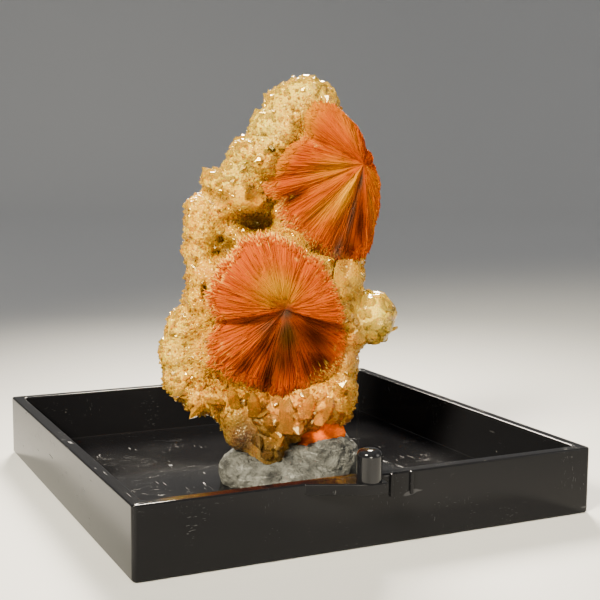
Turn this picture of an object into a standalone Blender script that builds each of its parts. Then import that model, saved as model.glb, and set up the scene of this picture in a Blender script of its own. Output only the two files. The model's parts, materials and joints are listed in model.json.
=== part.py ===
# Scolecite with chalcedony, standing in grey putty on the floor of a black display box base.
# Metres, +Z up. The origin is the middle of the box's underside, and the box's catch is at -Y.

from math import acos, atan2, cos, degrees, pi, radians, sin, sqrt
import random

import bmesh
import bpy
from mathutils import Matrix, Vector

MM = 0.001

# Driving dimensions of the display box base, in millimetres
BOX_SIDE = 76.0
BOX_HEIGHT = 10.7
WALL = 2.05
FLOOR = 1.8
CORNER_RADIUS = 0.7
INNER_RADIUS = 0.6
CORNER_STEPS = 3
RIM_BEVEL = 0.25

# Catch on the front wall: a tab level with the rim, and a round pin standing on its end
TAB_START = -12.8
TAB_FULL = -4.4
TAB_END = -1.4
TAB_REACH = 4.0
TAB_TAPER = (2.0, 1.2)
TAB_THICKNESS = 1.7
TAB_BELOW_RIM = 0.02
PIN_X = -3.5
PIN_OUT = 2.0
PIN_RADIUS = 1.85
PIN_HEIGHT = 4.6
PIN_ROUNDING = 0.9
PIN_SIDES = 24
PIN_ROUNDING_STEPS = 3

# Two thin upright ribs moulded on the front wall beside the catch
RIB_PLACES = (1.3, 4.7)
RIB_WIDTH = 0.5
RIB_PROUD = 0.35
RIB_DROP = 3.4
RIB_BELOW_RIM = 0.1

# The specimen's own frame: X across, Y away from the viewer, Z up, turned about the box's Z axis
SPECIMEN_TURN = -25.6
GAP = 0.3
POCKET_REACH = 16.0
SPECIMEN_SEED = 7

# Lumps of the chalcedony plate: across, up, near, then half sizes across, up and near
CHALCEDONY_LUMPS = (
    (4.6, 65.4, 1.5, 4.8, 4.3, 5.4),
    (7.5, 64.4, 0.5, 3.0, 4.3, 4.8),
    (0.9, 64.6, 1.5, 3.0, 3.4, 4.8),
    (-0.9, 61.3, 2.3, 3.6, 3.0, 5.2),
    (2.4, 60.2, 2.6, 4.6, 4.6, 5.4),
    (-4.0, 57.2, 2.4, 4.0, 2.8, 5.4),
    (0.0, 56.0, 2.8, 5.2, 4.0, 5.6),
    (-10.5, 52.3, 1.6, 2.3, 2.0, 4.0),
    (-7.6, 51.8, 2.4, 4.6, 2.6, 5.4),
    (-5.0, 49.6, 4.4, 3.2, 2.8, 4.6),
    (-12.7, 47.3, 1.6, 2.9, 2.8, 4.8),
    (-9.2, 46.6, 1.4, 4.2, 4.4, 4.8),
    (-12.4, 43.8, 2.0, 3.3, 3.8, 5.2),
    (-13.0, 40.4, 2.0, 3.1, 2.6, 5.0),
    (-12.0, 36.4, 2.4, 3.3, 4.0, 5.6),
    (-12.4, 32.3, 2.2, 3.3, 3.4, 5.8),
    (-15.2, 27.3, 2.0, 3.6, 3.7, 5.6),
    (-16.3, 23.0, 2.0, 3.9, 3.7, 5.4),
    (-14.9, 18.4, 2.4, 4.5, 3.6, 5.6),
    (-11.6, 15.6, 3.0, 4.5, 3.2, 5.8),
    (-6.4, 13.4, 4.0, 4.0, 4.0, 6.0),
    (-5.3, 9.9, 5.6, 3.5, 3.3, 4.4),
    (-2.2, 8.0, 6.6, 2.9, 3.2, 3.9),
    (-1.0, 12.8, 4.6, 4.2, 4.4, 6.4),
    (3.6, 13.2, 4.6, 4.2, 4.6, 6.4),
    (8.2, 14.8, 4.0, 4.4, 4.2, 6.2),
    (11.3, 16.4, 3.0, 2.8, 3.9, 5.4),
    (10.6, 13.4, 3.0, 2.5, 2.6, 4.6),
    (12.0, 21.4, 2.0, 2.3, 3.6, 5.2),
    (16.5, 29.2, 2.4, 3.8, 4.3, 4.8),
    (12.8, 27.2, 2.0, 3.2, 4.0, 5.2),
    (11.8, 32.4, 2.0, 3.3, 4.2, 5.2),
    (12.0, 36.6, 2.0, 3.0, 4.0, 5.0),
    (7.0, 56.3, -1.0, 7.2, 8.4, 5.4),
    (9.0, 47.0, -1.0, 7.0, 8.6, 5.4),
    (13.2, 50.0, -1.4, 3.0, 7.2, 4.4),
    (-3.5, 45.2, -1.2, 6.0, 5.0, 4.2),
    (-8.0, 41.0, 1.2, 4.0, 5.2, 4.8),
    (0.0, 36.0, -1.0, 11.6, 9.2, 6.4),
    (-1.0, 23.6, -0.6, 13.6, 10.2, 6.8),
    (5.6, 28.0, -1.0, 9.2, 10.6, 6.4),
)

# Rounded knobs on the side that faces away, in the same order of values
BACK_LUMPS = (
    (-6.6, 28.6, -4.8, 5.6, 5.4, 4.0),
    (4.6, 32.4, -5.0, 6.0, 5.6, 4.0),
    (-5.0, 38.6, -3.8, 5.2, 4.8, 3.6),
    (5.4, 43.6, -4.4, 5.4, 5.6, 3.6),
    (0.2, 53.2, -3.4, 5.2, 5.2, 3.6),
    (8.8, 53.6, -4.0, 4.8, 5.0, 3.2),
    (5.2, 61.0, -2.8, 4.4, 4.6, 3.4),
    (2.6, 19.4, -4.6, 6.0, 5.4, 4.0),
    (-9.0, 19.8, -3.6, 5.0, 4.8, 3.6),
    (9.6, 24.0, -3.8, 4.2, 4.8, 3.4),
)
LUMP_SUBDIVISIONS = 3
LUMP_VOXEL = 0.75
LUMP_SWELL = 0.25
LUMP_SOFTENING = 6
SOFTENING_FACTOR = 0.5
CHALCEDONY_TRIANGLES = 4700
CRYSTAL_HEIGHT = 0.9
CRYSTAL_SPREAD = (0.6, 1.2)
CRYSTAL_LEAN = 0.4
CRYSTAL_FLOOR = 11.5

# Sprays of scolecite. A ray holds an angle, its reach, and the face's rise half way out and at the rim.
UPPER_SPRAY = {
    "centre": (14.4, 55.3, 6.0),
    "pit": 0.6,
    "depth": 5.0,
    "slope": (0.03, 0.0),
    "segments": 60,
    "rings": (5, 3),
    "tooth": 0.35,
    "pleat": 0.2,
    "rays": (
        (8, 1.6, -0.8, -2.0),
        (80, 2.6, -0.6, -2.2),
        (106, 7.2, 0.6, -0.8),
        (116, 10.4, 1.6, 0.4),
        (131, 12.8, 2.2, 1.0),
        (142, 12.3, 1.6, 0.6),
        (151, 10.8, 0.6, -0.4),
        (157, 10.9, 1.2, 0.6),
        (170, 13.0, 2.2, 1.4),
        (179, 14.2, 2.4, 1.4),
        (187, 14.6, 1.4, 0.6),
        (190, 16.4, 1.0, -0.2),
        (197, 17.2, 1.2, -0.6),
        (204, 14.9, 0.6, -0.8),
        (210, 16.3, 1.6, 0.8),
        (221, 16.3, 2.0, 1.0),
        (231, 15.6, 1.4, 0.4),
        (240, 16.4, 1.8, 0.8),
        (252, 16.6, 0.4, -0.6),
        (261, 16.0, -0.4, -1.2),
        (267, 15.4, 0.8, 0.2),
        (274, 14.6, 1.0, -0.4),
        (281, 10.4, 0.2, -1.6),
        (301, 5.4, -0.6, -2.2),
        (330, 2.6, -1.0, -2.2),
    ),
}
LOWER_SPRAY = {
    "centre": (1.6, 31.1, 7.8),
    "pit": -0.9,
    "depth": 5.4,
    "slope": (0.0, 0.02),
    "segments": 72,
    "rings": (5, 3),
    "tooth": 0.4,
    "pleat": 0.25,
    "rays": (
        (348, 9.8, 1.6, 1.0),
        (10, 9.3, 2.2, 1.2),
        (34, 9.1, 2.4, 1.0),
        (58, 10.2, 2.2, 0.8),
        (68, 10.0, 2.0, 0.8),
        (84, 11.4, 2.4, 1.2),
        (105, 13.4, 2.6, 1.4),
        (122, 13.9, 2.6, 1.2),
        (130, 13.1, 2.4, 1.0),
        (150, 13.1, 2.4, 1.0),
        (171, 13.2, 2.2, 0.8),
        (188, 11.4, 2.0, 0.4),
        (192, 11.4, 0.2, -0.2),
        (204, 14.0, 0.4, 0.2),
        (217, 15.6, 0.8, 0.4),
        (228, 14.8, 0.4, 0.0),
        (240, 14.2, -0.6, -0.6),
        (251, 14.0, -0.8, -0.8),
        (267, 15.0, -0.6, -0.6),
        (280, 13.6, -0.8, -0.8),
        (303, 13.0, -1.0, -1.2),
        (314, 13.3, -1.0, -1.0),
        (330, 11.4, -0.8, -0.8),
        (342, 10.4, -0.4, -0.4),
    ),
}
FOOT_SPRAY = {
    "centre": (8.0, 9.6, 7.4),
    "pit": 1.4,
    "depth": 3.4,
    "slope": (-0.05, 0.0),
    "segments": 24,
    "rings": (3, 2),
    "tooth": 0.0,
    "pleat": 0.15,
    "rays": (
        (0, 3.9, 0.8, -0.6),
        (25, 3.9, 0.9, -0.4),
        (55, 2.4, 1.0, 0.2),
        (95, 2.1, 1.0, 0.2),
        (140, 1.6, 1.0, 0.2),
        (180, 3.6, 0.8, 0.0),
        (205, 4.6, 0.6, -0.2),
        (225, 3.6, 0.8, -0.2),
        (270, 2.2, 0.9, 0.0),
        (320, 2.0, 0.9, -0.2),
    ),
}
TOOTH_REACH = 10.0

# Putty: pressed lumps in the specimen's frame, in the same order of values as the chalcedony's
PUTTY_LUMPS = (
    (2.6, 2.0, 5.4, 11.6, 6.2, 8.2),
    (-4.4, 3.2, 6.0, 5.0, 4.0, 7.2),
    (9.0, 4.8, 5.0, 5.4, 5.3, 6.4),
    (3.0, 2.2, 10.4, 9.8, 3.4, 4.0),
)
PUTTY_VOXEL = 0.7
PUTTY_TRIANGLES = 900
LEVEL_CUTTER = (60.0, 20.0)

# Colours and finishes
BLACK_STYRENE = ((0.012, 0.012, 0.013, 1.0), 0.12)
GREY_PUTTY = ((0.23, 0.225, 0.19, 1.0), 0.75)
PALE_CHALCEDONY = ((0.72, 0.48, 0.27, 1.0), 0.35)
ORANGE_SCOLECITE = ((0.80, 0.17, 0.02, 1.0), 0.45)
DEEP_SCOLECITE = ((0.62, 0.10, 0.01, 1.0), 0.45)


def start_collections():
    """Empty the file's scene and make one collection for the object and one for its cutters."""
    for old in list(bpy.data.objects):
        bpy.data.objects.remove(old, do_unlink=True)
    parts = bpy.data.collections.new("scolecite_with_chalcedony")
    cutters = bpy.data.collections.new("cutters")
    for collection in (parts, cutters):
        bpy.context.scene.collection.children.link(collection)
    return parts, cutters


def material(name, finish):
    """A Principled material from a colour and a roughness."""
    colour, roughness = finish
    made = bpy.data.materials.new(name)
    made.use_nodes = True
    shader = made.node_tree.nodes["Principled BSDF"]
    shader.inputs["Base Color"].default_value = colour
    shader.inputs["Roughness"].default_value = roughness
    shader.inputs["Metallic"].default_value = 0.0
    return made


def object_from(bm, name, collection, parent=None, finish=None):
    """Turn a bmesh in millimetres into an object in metres."""
    bmesh.ops.scale(bm, vec=(MM, MM, MM), verts=bm.verts)
    mesh = bpy.data.meshes.new(name)
    bm.to_mesh(mesh)
    bm.free()
    made = bpy.data.objects.new(name, mesh)
    collection.objects.link(made)
    made.parent = parent
    if finish:
        mesh.materials.append(finish)
    return made


def as_cutter(cutter):
    """Keep a cutter out of the finished object."""
    cutter.hide_render = True
    cutter.display_type = "WIRE"
    return cutter


def settle(target):
    """Replace an object's mesh by its evaluated one, and drop its modifiers."""
    bpy.context.view_layer.update()
    evaluated = target.evaluated_get(bpy.context.evaluated_depsgraph_get())
    mesh = bpy.data.meshes.new_from_object(evaluated)
    old = target.data
    target.modifiers.clear()
    target.data = mesh
    bpy.data.meshes.remove(old)


def boolean(target, other, operation):
    """Join another object to the target, or cut it out."""
    step = target.modifiers.new(other.name, "BOOLEAN")
    step.operation = operation
    step.solver = "EXACT"
    step.object = other


def rounded_square(bm, side, radius, height):
    """The edges of a square outline with rounded corners, at one height."""
    corner = side / 2 - radius
    verts = []
    for quarter in range(4):
        middle = Matrix.Rotation(quarter * pi / 2, 3, "Z") @ Vector((corner, corner, 0))
        for step in range(CORNER_STEPS + 1):
            angle = (quarter + step / CORNER_STEPS) * pi / 2
            verts.append(bm.verts.new(middle + Vector((radius * cos(angle), radius * sin(angle), height))))
    return [bm.edges.new((vert, verts[number - 1])) for number, vert in enumerate(verts)]


def tray_mesh():
    """The box base: square outlines bridged up the outside, over the rim and down to the floor."""
    bm = bmesh.new()
    hollow = BOX_SIDE - 2 * WALL
    levels = (
        (BOX_SIDE - 2 * RIM_BEVEL, CORNER_RADIUS - RIM_BEVEL, 0.0),
        (BOX_SIDE, CORNER_RADIUS, RIM_BEVEL),
        (BOX_SIDE, CORNER_RADIUS, BOX_HEIGHT - RIM_BEVEL),
        (BOX_SIDE - 2 * RIM_BEVEL, CORNER_RADIUS - RIM_BEVEL, BOX_HEIGHT),
        (hollow + 2 * RIM_BEVEL, INNER_RADIUS + RIM_BEVEL, BOX_HEIGHT),
        (hollow, INNER_RADIUS, BOX_HEIGHT - RIM_BEVEL),
        (hollow, INNER_RADIUS, FLOOR),
    )
    outlines = [rounded_square(bm, *level) for level in levels]
    for lower, upper in zip(outlines, outlines[1:]):
        bmesh.ops.bridge_loops(bm, edges=lower + upper)
    for outline in (outlines[0], outlines[-1]):
        bmesh.ops.contextual_create(bm, geom=outline)
    bmesh.ops.recalc_face_normals(bm, faces=bm.faces)
    return bm


def tab_mesh():
    """The catch tab: a plate level with the rim, tapering into the wall on its left."""
    bm = bmesh.new()
    wall = -BOX_SIDE / 2
    inside = wall + WALL / 2
    edge = wall - TAB_REACH
    outline = ((TAB_START, inside), (TAB_START, wall - TAB_BELOW_RIM),
               (TAB_FULL - TAB_TAPER[0], edge + TAB_TAPER[1]), (TAB_FULL, edge), (TAB_END, edge),
               (TAB_END, inside))
    top = BOX_HEIGHT - TAB_BELOW_RIM
    sheet = bm.faces.new([bm.verts.new((x, y, top - TAB_THICKNESS)) for x, y in outline])
    moved = bmesh.ops.extrude_face_region(bm, geom=[sheet])["geom"]
    bmesh.ops.translate(bm, vec=(0, 0, TAB_THICKNESS),
                        verts=[v for v in moved if isinstance(v, bmesh.types.BMVert)])
    bmesh.ops.recalc_face_normals(bm, faces=bm.faces)
    return bm


def pin_mesh():
    """The catch pin: a short cylinder with a rounded top."""
    bm = bmesh.new()
    sunk = TAB_THICKNESS / 2
    length = PIN_HEIGHT + sunk
    place = Matrix.Translation((PIN_X, -BOX_SIDE / 2 - PIN_OUT, BOX_HEIGHT - sunk + length / 2))
    bmesh.ops.create_cone(bm, cap_ends=True, segments=PIN_SIDES, radius1=PIN_RADIUS, radius2=PIN_RADIUS,
                          depth=length, matrix=place)
    crown = BOX_HEIGHT + PIN_HEIGHT
    edges = [edge for edge in bm.edges if all(vert.co.z > crown - PIN_ROUNDING for vert in edge.verts)]
    bmesh.ops.bevel(bm, geom=edges, offset=PIN_ROUNDING, segments=PIN_ROUNDING_STEPS, profile=0.5,
                    affect="EDGES", material=-1)
    return bm


def rib_mesh(across):
    """One thin upright rib on the outside of the front wall."""
    bm = bmesh.new()
    size = (RIB_WIDTH, RIB_PROUD + WALL / 2, RIB_DROP)
    top = BOX_HEIGHT - RIB_BELOW_RIM
    middle = (across, -BOX_SIDE / 2 + (WALL / 2 - RIB_PROUD) / 2, top - RIB_DROP / 2)
    bmesh.ops.create_cube(bm, size=1.0, matrix=Matrix.Translation(middle) @ Matrix.Diagonal((*size, 1)))
    return bm


def build_box(parts, cutters):
    """The black box base: the tray with its tab, pin and ribs joined to it."""
    black = material("black_styrene", BLACK_STYRENE)
    box = object_from(tray_mesh(), "display_box_base", parts, finish=black)
    additions = [("catch_tab", tab_mesh()), ("catch_pin", pin_mesh())]
    for number, across in enumerate(RIB_PLACES, start=1):
        additions.append((f"wall_rib_{number}", rib_mesh(across)))
    for name, bm in additions:
        piece = as_cutter(object_from(bm, name, cutters))
        boolean(box, piece, "UNION")
    return box


def lumps_mesh(rows):
    """Overlapping ellipsoids, one for each row, a little swollen to allow for the softening."""
    bm = bmesh.new()
    for across, up, near, *halves in rows:
        half_across, half_up, half_near = (half + LUMP_SWELL for half in halves)
        place = Matrix.Translation((across, -near, up))
        size = Matrix.Diagonal((half_across, half_near, half_up, 1))
        bmesh.ops.create_icosphere(bm, subdivisions=LUMP_SUBDIVISIONS, radius=1.0, matrix=place @ size)
    return bm


def fuse_lumps(target, voxel, triangles):
    """Melt overlapping lumps into one skin and bring it down to a number of triangles."""
    fuse = target.modifiers.new("fuse", "REMESH")
    fuse.mode = "VOXEL"
    fuse.voxel_size = voxel * MM
    soften = target.modifiers.new("soften", "SMOOTH")
    soften.factor = SOFTENING_FACTOR
    soften.iterations = LUMP_SOFTENING
    settle(target)
    target.data.calc_loop_triangles()
    reduce = target.modifiers.new("reduce", "DECIMATE")
    reduce.ratio = triangles / len(target.data.loop_triangles)
    settle(target)


def raise_crystals(target, rng):
    """Lift separate vertices of the skin into flat-faced points, like the crystals that cover it."""
    bm = bmesh.new()
    bm.from_mesh(target.data)
    bmesh.ops.triangulate(bm, faces=bm.faces)
    bm.normal_update()
    bm.verts.ensure_lookup_table()
    order = list(range(len(bm.verts)))
    rng.shuffle(order)
    lifted = set()
    moves = []
    for index in order:
        vert = bm.verts[index]
        around = [edge.other_vert(vert) for edge in vert.link_edges]
        if vert.co.z < CRYSTAL_FLOOR * MM or any(other.index in lifted for other in around):
            continue
        ring = sum((other.co for other in around), Vector()) / len(around)
        if (vert.co - ring).dot(vert.normal) < 0:
            continue
        lifted.add(index)
        lean = Vector((rng.uniform(-1, 1), rng.uniform(-1, 1), rng.uniform(-1, 1))) * CRYSTAL_LEAN
        height = CRYSTAL_HEIGHT * rng.uniform(*CRYSTAL_SPREAD)
        moves.append((vert, (vert.normal + lean).normalized() * height * MM))
    for vert, move in moves:
        vert.co += move
    bm.to_mesh(target.data)
    bm.free()
    return len(moves)


def along_rays(spray, angle, column):
    """Read one column of a spray's rays at an angle, straight between neighbouring rays."""
    rays = sorted(spray["rays"])
    for number, ray in enumerate(rays):
        before = rays[number - 1]
        start = before[0] - 360 if number == 0 else before[0]
        if angle <= ray[0]:
            share = (angle - start) / (ray[0] - start)
            return before[column] + share * (ray[column] - before[column])
    before = rays[-1]
    share = (angle - before[0]) / (rays[0][0] + 360 - before[0])
    return before[column] + share * (rays[0][column] - before[column])


def face_rise(spray, angle, out):
    """How far the face stands towards the viewer, from the pit through half way to the rim."""
    middle = along_rays(spray, angle, 2)
    rim = along_rays(spray, angle, 3)
    pit = spray["pit"]
    return pit * (1 - out) * (1 - 2 * out) + middle * 4 * out * (1 - out) + rim * out * (2 * out - 1)


def spray_mesh(spray, clearance=0.0, forward=0.0):
    """One spray: a sphere whose near half follows the rays and whose far half narrows to its root."""
    bm = bmesh.new()
    segments = spray["segments"]
    front_rings, back_rings = spray["rings"]
    rings = front_rings + back_rings
    bmesh.ops.create_uvsphere(bm, u_segments=segments, v_segments=rings, radius=1.0)
    across, up, near = spray["centre"]
    slope_across, slope_up = spray["slope"]
    for vert in bm.verts:
        x, y, z = vert.co
        ring = round(acos(max(-1.0, min(1.0, z))) * rings / pi)
        front = ring < front_rings
        out = ring / front_rings if front else sin(pi / 2 * (rings - ring) / back_rings)
        angle = degrees(atan2(y, x)) % 360 if 0 < ring < rings else 0.0
        reach = along_rays(spray, angle, 1)
        pleat = 0.0
        if round(angle * segments / 360) % 2:
            share = out * min(1.0, reach / TOOTH_REACH)
            reach += spray["tooth"] * share
            pleat = spray["pleat"] * share
        reach += clearance
        rim = along_rays(spray, angle, 3)
        if front:
            rise = forward or face_rise(spray, angle, out) + pleat
            if forward and ring == front_rings - 1:
                out = 1.0
        else:
            rise = rim * out - (spray["depth"] + clearance) * sqrt(max(0.0, 1 - out * out))
            rise -= clearance * (1 - out)
        east = reach * out * cos(radians(angle))
        north = reach * out * sin(radians(angle))
        rise += slope_across * east + slope_up * north
        vert.co = (across + east, -(near + rise), up + north)
    return bm


def build_specimen(parts, cutters, frame):
    """The chalcedony plate with pockets, and the three exposures of scolecite that fill them."""
    rng = random.Random(SPECIMEN_SEED)
    pale = material("pale_chalcedony", PALE_CHALCEDONY)
    orange = material("orange_scolecite", ORANGE_SCOLECITE)
    deep = material("deep_scolecite", DEEP_SCOLECITE)
    plate = object_from(lumps_mesh(CHALCEDONY_LUMPS + BACK_LUMPS), "chalcedony_matrix", parts, frame, pale)
    fuse_lumps(plate, LUMP_VOXEL, CHALCEDONY_TRIANGLES)
    crystals = raise_crystals(plate, rng)
    sprays = (("scolecite_spray_upper", UPPER_SPRAY, orange), ("scolecite_spray_lower", LOWER_SPRAY, orange),
              ("scolecite_foot", FOOT_SPRAY, deep))
    for name, spray, finish in sprays:
        object_from(spray_mesh(spray), name, parts, frame, finish)
        pocket = object_from(spray_mesh(spray, GAP, POCKET_REACH), name + "_pocket", cutters, frame)
        boolean(plate, as_cutter(pocket), "DIFFERENCE")
    return plate, crystals


def build_putty(parts, cutters, frame, plate):
    """The putty: pressed lumps, flat on the box floor, with a seat for the specimen's tip."""
    grey = material("grey_putty", GREY_PUTTY)
    putty = object_from(lumps_mesh(PUTTY_LUMPS), "putty_mound", parts, frame, grey)
    fuse_lumps(putty, PUTTY_VOXEL, PUTTY_TRIANGLES)
    seat = bpy.data.objects.new("putty_seat", plate.data.copy())
    cutters.objects.link(seat)
    seat.parent = frame
    swell = seat.modifiers.new("swell", "DISPLACE")
    swell.strength = GAP * MM
    swell.mid_level = 0.0
    boolean(putty, as_cutter(seat), "DIFFERENCE")
    foot_seat = object_from(spray_mesh(FOOT_SPRAY, GAP), "putty_foot_seat", cutters, frame)
    boolean(putty, as_cutter(foot_seat), "DIFFERENCE")
    below = bmesh.new()
    side, depth = LEVEL_CUTTER
    level = Matrix.Translation((0, 0, FLOOR + GAP - depth / 2))
    bmesh.ops.create_cube(below, size=1.0, matrix=level @ Matrix.Diagonal((side, side, depth, 1)))
    boolean(putty, as_cutter(object_from(below, "putty_level", cutters, frame)), "DIFFERENCE")
    return putty


def main():
    parts, cutters = start_collections()
    build_box(parts, cutters)
    frame = bpy.data.objects.new("specimen_frame", None)
    frame.rotation_euler = (0, 0, radians(SPECIMEN_TURN))
    parts.objects.link(frame)
    plate, crystals = build_specimen(parts, cutters, frame)
    build_putty(parts, cutters, frame, plate)
    print("crystal points raised:", crystals)


main()
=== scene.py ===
# %% [markdown]
# # Scolecite with chalcedony, in an open display box base
# Two sprays of orange scolecite needles grew on a knobbly plate of pale chalcedony. The plate stands in
# a lump of grey putty on the floor of a shallow black styrene box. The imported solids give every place
# and size. This script keeps those places and makes the fine surface: needles, crystal skin, pressed
# putty and polished plastic.

# %% Load the frame
import json
from math import cos, pi, radians, sin

import bmesh
import bpy
import numpy as np
from mathutils import Matrix, Vector

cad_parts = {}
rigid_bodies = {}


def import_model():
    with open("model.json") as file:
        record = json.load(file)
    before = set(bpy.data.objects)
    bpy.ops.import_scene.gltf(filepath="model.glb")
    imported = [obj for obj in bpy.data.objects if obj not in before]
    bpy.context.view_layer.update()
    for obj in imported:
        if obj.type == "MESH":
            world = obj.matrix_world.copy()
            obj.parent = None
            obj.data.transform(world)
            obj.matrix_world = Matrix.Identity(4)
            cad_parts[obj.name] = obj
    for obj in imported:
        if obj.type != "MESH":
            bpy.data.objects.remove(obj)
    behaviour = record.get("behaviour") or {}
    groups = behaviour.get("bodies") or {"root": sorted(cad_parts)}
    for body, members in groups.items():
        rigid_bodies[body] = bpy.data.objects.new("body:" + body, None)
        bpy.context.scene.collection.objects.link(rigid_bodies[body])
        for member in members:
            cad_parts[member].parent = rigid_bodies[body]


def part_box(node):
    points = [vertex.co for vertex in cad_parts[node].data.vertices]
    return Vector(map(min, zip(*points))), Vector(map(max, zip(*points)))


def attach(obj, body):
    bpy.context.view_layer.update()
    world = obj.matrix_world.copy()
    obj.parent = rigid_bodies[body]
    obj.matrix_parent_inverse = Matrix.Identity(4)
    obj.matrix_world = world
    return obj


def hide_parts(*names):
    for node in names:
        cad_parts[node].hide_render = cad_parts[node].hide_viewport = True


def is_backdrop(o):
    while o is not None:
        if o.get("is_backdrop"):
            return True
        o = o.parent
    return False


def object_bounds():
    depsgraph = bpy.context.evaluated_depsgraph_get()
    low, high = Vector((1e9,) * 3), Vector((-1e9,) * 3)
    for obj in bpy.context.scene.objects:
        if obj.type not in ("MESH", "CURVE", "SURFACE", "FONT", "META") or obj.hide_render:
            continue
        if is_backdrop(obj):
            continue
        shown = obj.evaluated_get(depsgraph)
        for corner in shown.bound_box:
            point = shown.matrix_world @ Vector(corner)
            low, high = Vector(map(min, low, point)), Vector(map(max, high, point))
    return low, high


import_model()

MM = 0.001
cad_low, cad_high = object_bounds()
print("CAD box, mm:", [round((high - low) / MM, 1) for low, high in zip(cad_low, cad_high)])

# %% [markdown]
# The specimen is turned about the upright axis so that its face looks a little to the left. It is
# easiest to model in its own frame, in millimetres: across, away and up. One matrix then carries every
# finished mesh into the row's frame in metres, so all the objects can stay at the origin.

# %% The specimen's own frame
SPECIMEN_TURN = -25.6
to_row = Matrix.Rotation(radians(SPECIMEN_TURN), 4, "Z") @ Matrix.Scale(MM, 4)
to_specimen = to_row.inverted()


def piece_from(bm, name, material=None, place=to_row):
    """Carry a bmesh into the row's frame and make it an object that sits at the origin."""
    bmesh.ops.transform(bm, matrix=place, verts=bm.verts)
    mesh = bpy.data.meshes.new(name)
    bm.to_mesh(mesh)
    bm.free()
    mesh.polygons.foreach_set("use_smooth", [True] * len(mesh.polygons))
    made = bpy.data.objects.new(name, mesh)
    bpy.context.scene.collection.objects.link(made)
    if material:
        mesh.materials.append(material)
    return made


def settle(target):
    """Replace an object's mesh by what its modifiers make of it."""
    bpy.context.view_layer.update()
    evaluated = target.evaluated_get(bpy.context.evaluated_depsgraph_get())
    mesh = bpy.data.meshes.new_from_object(evaluated)
    target.modifiers.clear()
    target.data = mesh
    return mesh


def triangles(target):
    """How many triangles a mesh has."""
    target.data.calc_loop_triangles()
    return len(target.data.loop_triangles)


def give_float(mesh, name, values):
    """Store one number for each vertex, for a material to read."""
    layer = mesh.attributes.new(name, "FLOAT", "POINT")
    layer.data.foreach_set("value", np.asarray(values, np.float32))


print("specimen frame turned by", SPECIMEN_TURN, "degrees")

# %% [markdown]
# ## Camera, floor and light
# The camera repeats the photograph's: a long lens low in front of the box, turned to its left. The floor
# is one pale sheet that curves up far away all round, as in a photographer's cove, so there is no
# horizon line. The sky above it is a plain pale colour. Four soft lights do the rest: one high on the
# left, one from behind to make the translucent stone glow at its edges, and two weak ones, on the right
# and low in front, that lift the shadows.

# %% Camera
CAMERA_PLACE = Vector((-82.1, -180.8, 56.7)) * MM
CAMERA_AIM = Vector((4.5, 0.0, 31.6)) * MM
CAMERA_LENS = 69.5
CAMERA_ROLL = 0.41

camera_data = bpy.data.cameras.new("camera")
camera_data.lens = CAMERA_LENS
camera_data.sensor_width = 36.0
camera_data.clip_start = 0.01
camera = bpy.data.objects.new("camera", camera_data)
bpy.context.scene.collection.objects.link(camera)
camera.location = CAMERA_PLACE
aim = (CAMERA_AIM - CAMERA_PLACE).to_track_quat("-Z", "Y").to_matrix().to_4x4()
camera.rotation_euler = (aim @ Matrix.Rotation(radians(CAMERA_ROLL), 4, "Z")).to_euler()
bpy.context.scene.camera = camera
print("camera is", round((CAMERA_AIM - CAMERA_PLACE).length / MM), "mm from its aim")

# %% Floor and sky
FLOOR_RADIUS = 0.9
COVE_RADIUS = 0.5
WALL_TOP = 1.5
COVE_STEPS = 12
COVE_SIDES = 64
FLOOR_GAP = 0.00005
FLOOR_ROUGHNESS = 0.7
FLOOR_COLOUR = (0.62, 0.615, 0.60, 1.0)
SKY_COLOUR = (0.84, 0.85, 0.87, 1.0)
SKY_STRENGTH = 0.66


def plain_material(name, colour, roughness):
    """A Principled material with constants on its own sockets."""
    made = bpy.data.materials.new(name)
    made.use_nodes = True
    shader = made.node_tree.nodes["Principled BSDF"]
    shader.inputs["Base Color"].default_value = colour
    shader.inputs["Roughness"].default_value = roughness
    return made


def spun(profile, axis, sides):
    """A profile of radii and heights, spun once round an upright axis."""
    bm = bmesh.new()
    verts = [bm.verts.new((axis[0] + radius, axis[1], height)) for radius, height in profile]
    line = [bm.edges.new(pair) for pair in zip(verts, verts[1:])]
    bmesh.ops.spin(bm, geom=verts + line, cent=(*axis, 0), axis=(0, 0, 1), angle=2 * pi, steps=sides,
                   use_merge=True)
    bmesh.ops.remove_doubles(bm, verts=bm.verts, dist=0.0005)
    bmesh.ops.recalc_face_normals(bm, faces=bm.faces)
    return bm


profile = [(0.0, 0.0), (FLOOR_RADIUS, 0.0)]
for step in range(1, COVE_STEPS + 1):
    turn = step / COVE_STEPS * pi / 2
    profile.append((FLOOR_RADIUS + COVE_RADIUS * sin(turn), COVE_RADIUS * (1 - cos(turn))))
profile.append((FLOOR_RADIUS + COVE_RADIUS, WALL_TOP))
floor = piece_from(spun(profile, (0, 0), COVE_SIDES), "studio_floor",
                   plain_material("studio_floor", FLOOR_COLOUR, FLOOR_ROUGHNESS),
                   place=Matrix.Translation((0, 0, -FLOOR_GAP)))
floor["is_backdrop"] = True

world = bpy.data.worlds.new("studio")
bpy.context.scene.world = world
world.use_nodes = True
world.node_tree.nodes["Background"].inputs["Color"].default_value = SKY_COLOUR
world.node_tree.nodes["Background"].inputs["Strength"].default_value = SKY_STRENGTH
print("floor and sky are set")

# %% Lights
LIGHTS = (
    # name, place, side, power, colour, spread in degrees
    ("key", (-0.34, -0.20, 0.34), 0.14, 0.44, (1.0, 0.91, 0.70), 30),
    ("glow", (0.14, 0.32, 0.30), 0.16, 0.60, (1.0, 0.90, 0.74), 36),
    ("fill", (0.40, -0.30, 0.20), 0.30, 0.14, (1.0, 0.95, 0.86), 60),
    ("low", (-0.10, -0.42, 0.06), 0.16, 0.075, (1.0, 0.92, 0.74), 30),
)
LIGHT_AIM = Vector((0.0, 0.0, 0.045))

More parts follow.
